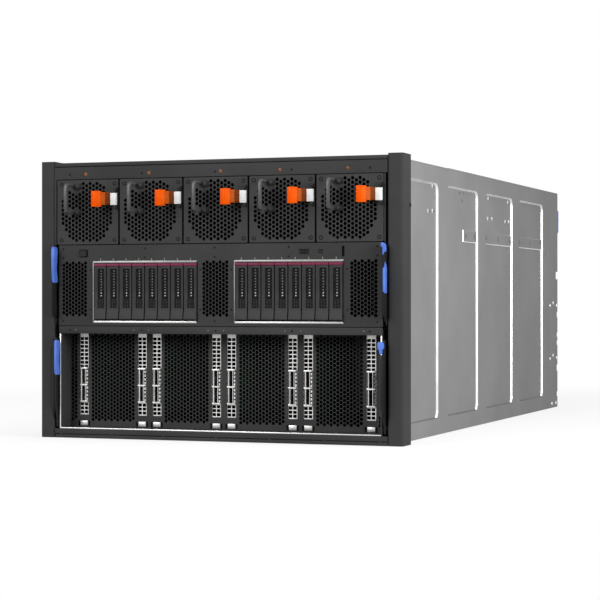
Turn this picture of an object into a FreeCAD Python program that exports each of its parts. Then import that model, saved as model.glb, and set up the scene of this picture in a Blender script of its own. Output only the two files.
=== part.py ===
import FreeCAD, Part
import math
import os
import re
import Sketcher

# An eight-unit rack server with a row of fan modules, a compute tray with drives and a tray of network cards.
# X points to the right seen from the front, Y to the rear and Z up. Sizes are in millimetres.
doc = FreeCAD.newDocument("gpu_server")
sizes = doc.addObject("Spreadsheet::Sheet", "sizes")

driving_sizes = {
    # outer case
    "rack_width": 482.6,
    "ear_width": 17.8,
    "chassis_depth": 927,
    "rear_reach": 11,
    "ear_depth": 33,
    "ear_gauge": 2,
    "ear_bend": 3.2,
    "ear_rise": 2,
    "ear_gap": 1.5,
    "deck_setback": 12,
    "wall_gauge": 1.6,
    "cover_gauge": 2,
    "lip_height": 4.7,
    "lip_gap": 0.9,
    "strip_step": 3.4,
    "deck_gauge": 1.6,
    "panel_gauge": 1.6,
    "pan_gauge": 1.5,
    "fit_gap": 0.4,
    # heights of the rows, from the floor up
    "sill_height": 11.3,
    "sill_slot_low": 3.7,
    "sill_slot_height": 1.3,
    "gpu_row_height": 130.8,
    "compute_row_height": 102.6,
    "fan_row_height": 82.9,
    "strip_height": 19.4,
    "lamp_radius": 1.4,
    "lamp_rise": 6.2,
    "lamp_offset": 2.3,
    # rack screws in the ear flanges
    "rack_screw_edge": 8.75,
    "rack_screw_rise": 222.25,
    "rack_screw_radius": 3.5,
    # pressed recesses in the side walls, and the brace across three of them
    "recess_depth": 3,
    "recess_front": 54,
    "recess_rear": 112,
    "recess_gap": 42.8,
    "recess_floor": 21,
    "recess_top": 21,
    "recess_corner": 9,
    "recess_slope": 2.4,
    "brace_height": 17,
    "brace_low": 254,
    "brace_inset": 56,
    "brace_gauge": 2.4,
    # fan modules
    "fan_side_gap": 0.5,
    "cheek_gauge": 1.2,
    "divider_gauge": 0.6,
    "fan_gap": 1.8,
    "fan_depth": 92,
    "fan_wall": 1.2,
    "fan_plate": 1.6,
    "fan_cell_pitch": 19.6,
    "fan_cell_web": 2.8,
    "fan_cell_edge": 7,
    "rotor_clearance": 1.6,
    "hub_radius": 17,
    "hub_length": 34,
    "hub_gap": 3,
    "strut_width": 10,
    "strut_depth": 6,
    "strut_inset": 2,
    "spindle_radius": 3,
    "spindle_gap": 0.1,
    "spindle_tip": 2,
    "blade_gauge": 2,
    "blade_chord": 26,
    "blade_setback": 6,
    "blade_tip_gap": 2,
    "handle_reach": 22,
    "handle_height": 38.6,
    "handle_width": 4.2,
    "handle_gauge": 3.2,
    "handle_left": 20.5,
    "handle_drop": 5.2,
    "latch_drop": 24.4,
    "latch_reach": 18,
    "latch_height": 17,
    "latch_gauge": 1.2,
    "latch_leaf": 9,
    "latch_grip_start": 13,
    "latch_grip_width": 10.8,
    "latch_grip_height": 22.3,
    "latch_grip_wall": 2.8,
    "latch_pin_radius": 1,
    "latch_barrel_wall": 0.7,
    "latch_pin_gap": 0.15,
    "latch_lug": 4.4,
    # tray levers
    "lever_gauge": 5,
    "lever_reach": 11,
    "lever_heel": 7.4,
    "lever_heel_gap": 1,
    "lever_neck": 2,
    "lever_shoulder": 26,
    "lever_round": 3,
    "lever_side_gap": 1.6,
    "lever_pin_radius": 3,
    "lever_pin_gap": 0.12,
    "lever_pin_inset": 7,
    "lever_slot": 7,
    "compute_lever_chin": 4,
    "compute_lever_slope": 4,
    "gpu_lever_chin": 26,
    "gpu_lever_slope": 22,
    "gpu_lever_drop": 5,
    # both trays
    "tray_depth": 430,
    "tray_gap": 20,
    "brim_gap": 2.6,
    "panel_overlap": 0.8,
    # compute tray
    "bay_middle": 24.4,
    "bay_side": 48.9,
    "bay_sill": 6.7,
    "bay_head": 22.6,
    "bay_rim_side": 0.6,
    "bay_rim_low": 3.2,
    "bay_rim_top": 2.7,
    "bay_rim_gauge": 1.2,
    "bay_wall": 0.8,
    "bay_window_gap": 0.2,
    "drive_gap": 0.6,
    "drive_depth": 112,
    "drive_recess": 1.6,
    "drive_end_gap": 4,
    "drive_body_inset": 0.8,
    "bezel_depth": 9,
    "bezel_chin_height": 13.5,
    "bezel_chin_reach": 1.8,
    "bezel_chin_foot": 1,
    "bezel_slot_left": 6.1,
    "bezel_slot_width": 8,
    "bezel_slot_depth": 2.4,
    "bezel_slot_margin": 1.4,
    "drive_tab_height": 3,
    "drive_tab_lip": 1.2,
    "vent_half_width": 17,
    "vent_sill": 11,
    "vent_head": 21.4,
    "vent_edge": 4.8,
    "vent_margin": 2,
    "vent_gauge": 1.3,
    "vent_cell_pitch": 18,
    "vent_cell_web": 2.2,
    "button_width": 9.6,
    "button_height": 7.6,
    "button_corner": 2,
    "button_gap": 0.5,
    "button_flange": 1.5,
    "button_proud": 0.6,
    "button_travel": 1.2,
    "button_from_end": 34.7,
    "button_below_top": 10.4,
    "port_width": 14.2,
    "port_height": 7.4,
    "port_from_end": 98,
    "small_port_width": 6.4,
    "small_port_height": 5,
    "small_port_from_end": 78.7,
    "thumb_slot_width": 3.4,
    "thumb_slot_height": 13,
    "thumb_slot_from_end": 49.4,
    # boards of the compute tray
    "board_gauge": 2.4,
    "board_edge": 4,
    "board_gap": 14,
    "board_end_gap": 6,
    "backplane_gap": 2,
    "backplane_gauge": 3,
    "sink_from_middle": 100,
    "sink_width": 84,
    "sink_start": 110,
    "sink_length": 110,
    "sink_base": 6,
    "sink_headroom": 24,
    "fin_gauge": 2.4,
    "memory_from_sink": 62,
    "memory_width": 30,
    "memory_start": 96,
    "memory_length": 138,
    "memory_height": 34,
    # network card tray
    "card_setback": 26,
    "card_slot_width": 13.2,
    "card_edge": 20.36,
    "card_slot_low": 16.6,
    "bulkhead_gauge": 1.5,
    "bulkhead_border": 2,
    "top_bar_height": 9.2,
    "bulkhead_cell_pitch": 27,
    "bulkhead_cell_web": 3.4,
    "bracket_width": 17.4,
    "bracket_gauge": 1,
    "bracket_overlap": 2,
    "bracket_tab_width": 10.4,
    "bracket_tab_height": 6.6,
    "bracket_tab_rise": 0.8,
    "bracket_vent_width": 9,
    "bracket_vent_height": 7.2,
    "bracket_vent_margin": 4.5,
    "cage_width": 10.8,
    "cage_height": 44,
    "cage_low": 32.9,
    "cage_reach": 2,
    "cage_depth": 51,
    "cage_wall": 1.1,
    "cage_gap": 0.1,
    "card_length": 160,
    "card_gauge": 1.6,
    "card_sill": 2,
    "card_drop": 6,
    # rear half
    "midplane_gauge": 3,
    "module_board_gauge": 4,
    "module_board_edge": 6,
    "module_edge": 12,
    "module_gap": 8,
    "module_front_gap": 6,
    "module_rear_gap": 4,
    "module_base": 20,
    "module_headroom": 20,
    "supply_depth": 230,
    "supply_height": 82,
    "supply_gap": 3,
    "supply_front_gap": 12,
    "inlet_width": 27,
    "inlet_height": 22,
    "inlet_depth": 16,
    "inlet_rise": 8,
    "rear_fan_rows": 172,
    "rear_fan_depth": 60,
    "rear_fan_gap": 3,
    "rear_fan_rim": 4,
    "rear_fan_mouth": 30,
    "rear_hub_length": 26,
    "rear_frame": 8,
    "rear_panel_gauge": 1.6,
    "rear_panel_edge": 12,
    "rear_panel_setback": 12,
    # levers at the rear edge
    "rear_lug_gauge": 1.6,
    "rear_lug_inset": 8,
    "rear_lug_reach": 3,
    "rear_lug_height": 15,
    "rear_pin_inset": 2,
    "rear_pin_rise": 10,
    "rear_heel": 4,
    "rear_heel_rise": 4,
    "rear_lever_bend": 18,
    "rear_lever_drop": 16,
    "rear_lever_gauge": 8,
}
for row, (alias, length) in enumerate(driving_sizes.items(), start=1):
    sizes.set(f"A{row}", str(length))
    sizes.setAlias(f"A{row}", alias)
doc.recompute()

# Places that follow from the sizes, each as a formula in the words of the sheet.
places = {
    "chassis_width": "rack_width - 2 * ear_width",
    "front": "(handle_reach - chassis_depth - rear_reach) / 2",
    "rear": "front + chassis_depth",
    "ear_rear": "front + ear_depth",
    "ear_out": "rack_width / 2",
    "deck_front": "front + deck_setback",
    "gpu_low": "sill_height + fit_gap",
    "gpu_top": "sill_height + gpu_row_height - fit_gap",
    "compute_low": "sill_height + gpu_row_height + fit_gap",
    "compute_top": "sill_height + gpu_row_height + compute_row_height - fit_gap",
    "fan_low": "sill_height + gpu_row_height + compute_row_height + fit_gap",
    "fan_top": "fan_low + fan_row_height - 2 * fit_gap",
    "strip_low": "fan_low + fan_row_height - fit_gap",
    "cover_low": "strip_low + strip_height",
    "cover_top": "cover_low + cover_gauge",
    "lip_low": "cover_top - lip_height",
    "strip_top": "lip_low - lip_gap",
    "ear_top": "cover_top + ear_rise",
    "wall_out": "chassis_width / 2",
    "wall_in": "wall_out - wall_gauge",
    "room_half": "wall_in - recess_depth",
    "ear_in": "wall_out - ear_gap",
    "trim_half": "ear_in - fit_gap",
    "pan_half": "wall_in - lever_slot",
    "panel_half": "pan_half + panel_overlap",
    "pan_in": "pan_half - pan_gauge",
    "lever_low": "pan_half + lever_side_gap",
    "lever_pivot": "front + lever_pin_inset",
    "recess_pitch": "(chassis_depth - recess_front - recess_rear) / 4",
    "recess_length": "recess_pitch - recess_gap",
    "fan_pitch": "(2 * room_half - cheek_gauge - 2 * fan_side_gap + fan_gap) / 5",
    "fan_first": "fan_side_gap - room_half + (fan_pitch - fan_gap) / 2",
    "fan_half": "(fan_pitch - fan_gap) / 2",
    "fan_middle": "(fan_low + fan_top) / 2",
    "fan_back": "front + fan_depth",
    "fan_bore": "min(fan_half * 2; fan_top - fan_low) / 2 - fan_wall",
    "rotor_radius": "fan_bore - rotor_clearance",
    "strut_front": "fan_back - strut_inset - strut_depth",
    "hub_front": "strut_front - hub_gap - hub_length",
    "handle_top": "fan_top - handle_drop",
    "handle_low": "handle_top - handle_height",
    "latch_middle": "fan_top - latch_drop",
    "compute_brim": "compute_top - brim_gap",
    "gpu_brim": "gpu_top - brim_gap",
    "bay_outer": "panel_half - bay_side",
    "bay_half": "(bay_outer - bay_middle) / 2",
    "bay_centre": "(bay_outer + bay_middle) / 2",
    "bay_low": "compute_low + bay_sill",
    "bay_top": "compute_top - bay_head",
    "drive_pitch": "(bay_half - bay_wall) / 4",
    "drive_face": "front + drive_recess",
    "drive_low": "bay_low + bay_wall + drive_gap / 2",
    "drive_top": "bay_top - bay_wall - drive_gap / 2",
    "drive_end": "front + drive_depth",
    "tab_low": "drive_top - drive_tab_height",
    "chin_top": "drive_low + bezel_chin_height",
    "vent_middle": "panel_half - vent_edge - vent_half_width",
    "vent_low": "compute_low + vent_sill",
    "vent_top": "compute_top - vent_head",
    "button_middle": "compute_top - button_below_top",
    "board_low": "compute_low + pan_gauge",
    "board_top": "board_low + board_gauge",
    "card_pitch": "(pan_in - card_edge) / 9.5",
    "card_face": "front + card_setback",
    "card_behind": "card_face + bulkhead_gauge",
    "gpu_floor": "gpu_low + pan_gauge",
    "slot_low": "gpu_low + card_slot_low",
    "bar_low": "gpu_top - top_bar_height",
    "shelf_low": "bar_low + panel_gauge",
    "cage_start": "gpu_low + cage_low",
    "cage_top": "cage_start + cage_height",
    "cage_front": "card_face - cage_reach",
    "midplane_front": "front + tray_depth + tray_gap",
    "module_front": "midplane_front + midplane_gauge",
    "supply_front": "rear - supply_depth",
    "module_rear": "supply_front - supply_front_gap",
    "supply_top": "wall_gauge + supply_height",
    "supply_pitch": "pan_half / 4",
    "rear_fan_low": "supply_top + rear_frame",
    "rear_fan_top": "rear_fan_low + rear_fan_rows",
    "rear_fan_pitch": "2 * pan_half / 5",
    "rear_fan_row": "rear_fan_rows / 2",
    "io_low": "rear_fan_top + rear_frame",
    "rear_pin_y": "rear - rear_pin_inset",
    "rear_pin_z": "io_low + rear_pin_rise",
    "rear_lug_out": "room_half - fit_gap",
    "rear_lug_in": "rear_lug_out - rear_lug_gauge",
    "rear_arm_out": "rear_lug_in - fit_gap",
    "rear_arm_in": "rear_arm_out - lever_gauge",
    # how far a cutter runs past the face that it opens
    "past": "2 * fit_gap",
}


def formula(text):
    """Write a formula in the sheet's words so that the document can bind it."""
    def one_word(found):
        word = found.group(0)
        if word in places:
            return "(" + formula(places[word]) + ")"
        if word in driving_sizes:
            return "sizes." + word
        return word
    return re.sub(r"[a-z_]+", one_word, str(text))


def bind(thing, **formulas):
    for name, text in formulas.items():
        thing.setExpression(name.replace("__", "."), formula(text))


def place(thing, x="0", y="0", z="0"):
    bind(thing, Placement__Base__x=x, Placement__Base__y=y, Placement__Base__z=z)


def box(name, x, y, z):
    """A block between two formulas on each axis."""
    block = doc.addObject("Part::Box", name)
    bind(block, Length=f"({x[1]}) - ({x[0]})", Width=f"({y[1]}) - ({y[0]})", Height=f"({z[1]}) - ({z[0]})")
    place(block, x[0], y[0], z[0])
    return block


turns = {
    "x": FreeCAD.Rotation(FreeCAD.Vector(0, 1, 0), 90),
    "y": FreeCAD.Rotation(FreeCAD.Vector(1, 0, 0), -90),
    "z": FreeCAD.Rotation(),
}


def rod(name, axis, radius, length, x, y, z):
    """A round bar that starts at a point and runs along one axis."""
    bar = doc.addObject("Part::Cylinder", name)
    bar.Placement = FreeCAD.Placement(FreeCAD.Vector(), turns[axis])
    bind(bar, Radius=radius, Height=length)
    place(bar, x, y, z)
    return bar


def drum(name, axis, sides, radius, length, x, y, z):
    """A many-sided bar that starts at a point and runs along one axis."""
    bar = doc.addObject("Part::Prism", name)
    bar.Placement = FreeCAD.Placement(FreeCAD.Vector(), turns[axis])
    bar.Polygon = sides
    bind(bar, Circumradius=radius, Height=length)
    place(bar, x, y, z)
    return bar


def join(name, things):
    whole = doc.addObject("Part::MultiFuse", name)
    whole.Shapes = things
    return whole


def cut(name, base, tools):
    """Take one or more tools out of a base."""
    tool = tools[0]
    if len(tools) > 1:
        tool = join(name + "_tools", tools)
    rest = doc.addObject("Part::Cut", name)
    rest.Base = base
    rest.Tool = tool
    return rest


def group(name, things):
    together = doc.addObject("Part::Compound", name)
    together.Links = things
    return together


normals = {"XY_Plane": "z", "XZ_Plane": "y", "YZ_Plane": "x"}


def outline(body, plane, loops):
    """A sketch of closed loops whose corners are tied to formulas."""
    sketch = body.newObject("Sketcher::SketchObject", body.Name + "_outline")
    support = [item for item in body.Origin.OriginFeatures if item.Role == plane][0]
    sketch.AttachmentSupport = [(support, "")]
    sketch.MapMode = "FlatFace"
    bound = []
    for corners in loops:
        start = sketch.GeometryCount
        count = len(corners)
        rough = [
            FreeCAD.Vector(math.cos(2 * math.pi * k / count), math.sin(2 * math.pi * k / count), 0)
            for k in range(count)
        ]
        for k in range(count):
            sketch.addGeometry(Part.LineSegment(rough[k], rough[(k + 1) % count]))
        for k in range(count):
            sketch.addConstraint(
                Sketcher.Constraint("Coincident", start + k, 2, start + (k + 1) % count, 1)
            )
        for k, (across, up) in enumerate(corners):
            for kind, text, value in (("DistanceX", across, rough[k].x), ("DistanceY", up, rough[k].y)):
                tie = sketch.addConstraint(Sketcher.Constraint(kind, -1, 1, start + k, 1, value))
                bound.append((tie, text))
    for tie, text in bound:
        sketch.setExpression(f"Constraints[{tie}]", formula(text))
    return sketch


def rectangle(low_across, high_across, low_up, high_up):
    return [(low_across, low_up), (high_across, low_up), (high_across, high_up), (low_across, high_up)]


def profile(name, plane, loops, low, high):
    """A body padded from an outline between two formulas along the normal of its plane."""
    body = doc.addObject("PartDesign::Body", name)
    pad = body.newObject("PartDesign::Pad", name + "_pad")
    pad.Profile = outline(body, plane, loops)
    body.Tip = pad
    bind(pad, Length=f"({high}) - ({low})")
    axis = normals[plane]
    place(body, **{axis: high if axis == "y" else low})
    return body


def soften(body, kind, size, wanted):
    """Round or bevel the edges of a body that a test picks by their middle point and direction."""
    doc.recompute()
    base = body.Tip
    picked = []
    for index, edge in enumerate(base.Shape.Edges, start=1):
        if len(edge.Vertexes) == 2:
            start, end = (vertex.Point for vertex in edge.Vertexes)
            if wanted((start + end) * 0.5, (end - start).normalize()):
                picked.append(f"Edge{index}")
    softened = body.newObject("PartDesign::" + kind, body.Name + "_softened")
    softened.Base = (base, picked)
    bind(softened, **{"Radius" if kind == "Fillet" else "Size": size})
    body.Tip = softened
    return softened


def number(text):
    """The present value of a formula, read back from the document."""
    gauge.setExpression("Placement.Base.x", formula(text))
    gauge.recompute()
    return gauge.Placement.Base.x


gauge = doc.addObject("Part::Box", "gauge")


def cells(name, pitch, web, keep, half_across, half_up, depth):
    """Six-sided holes in staggered columns over an area, as cutting prisms that run along Y."""
    radius = (pitch - web) / math.sqrt(3)
    column = pitch * math.sqrt(3) / 2
    prisms = []
    for i in range(-30, 31):
        for k in range(-30, 31):
            x = i * column
            z = (k + 0.5 * (i % 2)) * pitch
            if abs(x) + radius > half_across or abs(z) + pitch / 2 > half_up or not keep(x, z):
                continue
            ring = [
                FreeCAD.Vector(
                    x + radius * math.cos(math.pi * n / 3),
                    0,
                    z + radius * math.sin(math.pi * n / 3),
                )
                for n in range(7)
            ]
            prisms.append(Part.Face(Part.makePolygon(ring)).extrude(FreeCAD.Vector(0, depth, 0)))
    holes = doc.addObject("Part::Feature", name)
    holes.Shape = Part.makeCompound(prisms)
    return holes


nodes = []


def keep_node(thing, name):
    thing.Label = name
    nodes.append(thing)
    return thing

# Case: floor, walls with pressed recesses, cover, decks between the rows and the front trim.
keep_node(
    box("floor", ("-wall_out", "wall_out"), ("ear_rear", "rear"), ("0", "wall_gauge")),
    "chassis_base",
)


def side_wall(name, side):
    outer = f"{side} * wall_out"
    inner = f"{side} * wall_in"
    low, high = (inner, outer) if side > 0 else (outer, inner)
    deep = 0 if side > 0 else number("recess_depth")
    sheet = box(name + "_sheet", (low, high), ("deck_front", "rear"), ("wall_gauge", "cover_low"))
    bosses = []
    dents = []
    for k in range(4):
        start = f"front + recess_front + {k} * recess_pitch"
        boss = profile(
            f"{name}_boss_{k}",
            "YZ_Plane",
            [rectangle(f"{start} - wall_gauge", f"{start} + recess_length + wall_gauge",
                       "recess_floor - wall_gauge", "cover_low - recess_top + wall_gauge")],
            f"{inner} - recess_depth" if side > 0 else inner,
            inner if side > 0 else f"{inner} + recess_depth",
        )
        dent = profile(
            f"{name}_dent_{k}",
            "YZ_Plane",
            [rectangle(start, f"{start} + recess_length", "recess_floor", "cover_low - recess_top")],
            f"{outer} - recess_depth" if side > 0 else outer,
            outer if side > 0 else f"{outer} + recess_depth",
        )
        for pressed, corner in ((boss, "recess_corner + wall_gauge / 2"), (dent, "recess_corner")):
            soften(pressed, "Chamfer", corner, lambda at, way: abs(way.x) > 0.9)
            soften(pressed, "Chamfer", "recess_slope", lambda at, way: abs(at.x - deep) < 0.01)
        bosses.append(boss)
        dents.append(dent)
    pressed_sheet = cut(name + "_pressed", join(name + "_bossed", [sheet] + bosses), dents)
    shoulder = f"{side} * (wall_out - recess_depth)"
    face = f"{side} * (wall_out - recess_depth + brace_gauge)"
    brace = box(
        name + "_brace",
        (shoulder, face) if side > 0 else (face, shoulder),
        ("front + recess_front + 2 * recess_pitch - recess_gap - brace_inset",
         "front + recess_front + 3 * recess_pitch + recess_length"),
        ("brace_low", "brace_low + brace_height"),
    )
    return keep_node(join(name + "_whole", [pressed_sheet, brace]), name)


side_wall("left_wall", -1)
side_wall("right_wall", 1)

cover_fold = profile(
    "cover_fold",
    "YZ_Plane",
    [[("front", "lip_low"), ("front + cover_gauge", "lip_low"), ("front + cover_gauge", "cover_low"),
      ("deck_front", "cover_low"), ("deck_front", "cover_top"), ("front", "cover_top")]],
    "-trim_half",
    "trim_half",
)
nose = (number("front"), number("cover_top"))
soften(cover_fold, "Fillet", "cover_gauge * 0.7",
       lambda at, way: abs(at.y - nose[0]) + abs(at.z - nose[1]) < 0.1)
cover_plate = box("cover_plate", ("-wall_out", "wall_out"), ("deck_front", "rear"),
                  ("cover_low", "cover_top"))
keep_node(join("cover", [cover_fold, cover_plate]), "top_cover")

decks = [
    box("tray_deck", ("-room_half", "room_half"), ("deck_front", "midplane_front"),
        ("compute_low - fit_gap - deck_gauge", "compute_low - fit_gap")),
    box("fan_deck", ("-room_half", "room_half"), ("deck_front", "midplane_front"),
        ("fan_low - fit_gap - deck_gauge", "fan_low - fit_gap")),
]
for k in range(4):
    middle = f"fan_first + ({k} + 0.5) * fan_pitch"
    decks.append(
        box(f"divider_{k}", (f"{middle} - divider_gauge / 2", f"{middle} + divider_gauge / 2"),
            ("deck_front", "deck_front + fan_depth"), ("fan_low - fit_gap", "cover_low"))
    )
decks.append(
    profile(
        "cheek",
        "YZ_Plane",
        [[("front + fit_gap", "fan_low - fit_gap"), ("deck_front + fan_depth", "fan_low - fit_gap"),
          ("deck_front + fan_depth", "cover_low"), ("deck_front", "cover_low"),
          ("deck_front", "strip_low - fit_gap"), ("front + fit_gap", "strip_low - fit_gap")]],
        "room_half - cheek_gauge",
        "room_half",
    )
)
keep_node(group("decks", decks), "bay_decks")

strip = profile(
    "strip",
    "YZ_Plane",
    [[("front", "strip_low"), ("front + panel_gauge", "strip_low"),
      ("front + panel_gauge", "strip_top - panel_gauge"),
      ("front + strip_step + panel_gauge", "strip_top - panel_gauge"),
      ("front + strip_step + panel_gauge", "cover_low - panel_gauge"),
      ("deck_front", "cover_low - panel_gauge"), ("deck_front", "cover_low"),
      ("front + strip_step", "cover_low"), ("front + strip_step", "strip_top"), ("front", "strip_top")]],
    "-trim_half",
    "trim_half",
)
lamp_holes = [
    drum(f"lamp_hole_{k}", "y", 6, "lamp_radius", "panel_gauge + 2 * past",
         f"fan_first + {k} * fan_pitch - lamp_offset", "front - past", "strip_low + lamp_rise")
    for k in range(5)
]
sill = profile(
    "sill",
    "YZ_Plane",
    [[("front", "0"), ("ear_rear", "0"), ("ear_rear", "wall_gauge"),
      ("front + panel_gauge * 2", "wall_gauge"),
      ("front + panel_gauge * 2", "sill_height - panel_gauge"), ("deck_front", "sill_height - panel_gauge"),
      ("deck_front", "sill_height"), ("front", "sill_height"), ("front", "sill_slot_low + sill_slot_height"),
      ("front + panel_gauge", "sill_slot_low + sill_slot_height"), ("front + panel_gauge", "sill_slot_low"),
      ("front", "sill_slot_low")]],
    "-trim_half",
    "trim_half",
)
keep_node(group("trim", [cut("lamp_strip", strip, lamp_holes), sill]), "front_trim")


# Rack ears: a folded channel each side, with a return beside the trays and a rear flange for the rack screws.
def rack_ear(name, side):
    section = [
        ("ear_in", "front"), ("ear_out", "front"), ("ear_out", "ear_rear"), ("wall_out", "ear_rear"),
        ("wall_out", "ear_rear - ear_gauge"), ("ear_out - ear_gauge", "ear_rear - ear_gauge"),
        ("ear_out - ear_gauge", "front + ear_gauge"), ("ear_in + ear_gauge", "front + ear_gauge"),
        ("ear_in + ear_gauge", "deck_front - fit_gap"), ("ear_in", "deck_front - fit_gap"),
    ]
    corners = [(f"{side} * ({x})", y) for x, y in section]
    channel = profile(name + "_channel", "XY_Plane", [corners], "0", "ear_top")
    bends = [(side * number(x), number(y)) for x, y in section[:2]]
    soften(channel, "Fillet", "ear_bend",
           lambda at, way: any(math.hypot(at.x - x, at.y - y) < 0.1 for x, y in bends))
    cap_x = ("wall_out", "ear_out - ear_gauge / 2")
    if side < 0:
        cap_x = ("ear_gauge / 2 - ear_out", "-wall_out")
    cap_y = ("front + ear_gauge / 2", "ear_rear - ear_gauge / 2")
    caps = [
        box(name + "_foot", cap_x, cap_y, ("0", "ear_gauge")),
        box(name + "_head", cap_x, cap_y, ("ear_top - ear_gauge", "ear_top")),
    ]
    screws = [
        rod(f"{name}_screw_{k + 1}", "y", "rack_screw_radius", "ear_gauge + 2 * past",
            f"{side} * (ear_out - rack_screw_edge)", "ear_rear - ear_gauge - past",
            f"ear_top / 2 + {k} * rack_screw_rise / 2")
        for k in (-1, 1)
    ]
    return keep_node(cut(name + "_folded", join(name + "_closed", [channel] + caps), screws), name)


rack_ear("rack_ear_left", -1)
rack_ear("rack_ear_right", 1)

# Fan modules: a sheet duct with a six-sided grille, a pull handle, a rotor on a spindle and a sprung latch.
blade_count = 5
blade_lean = 38


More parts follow.
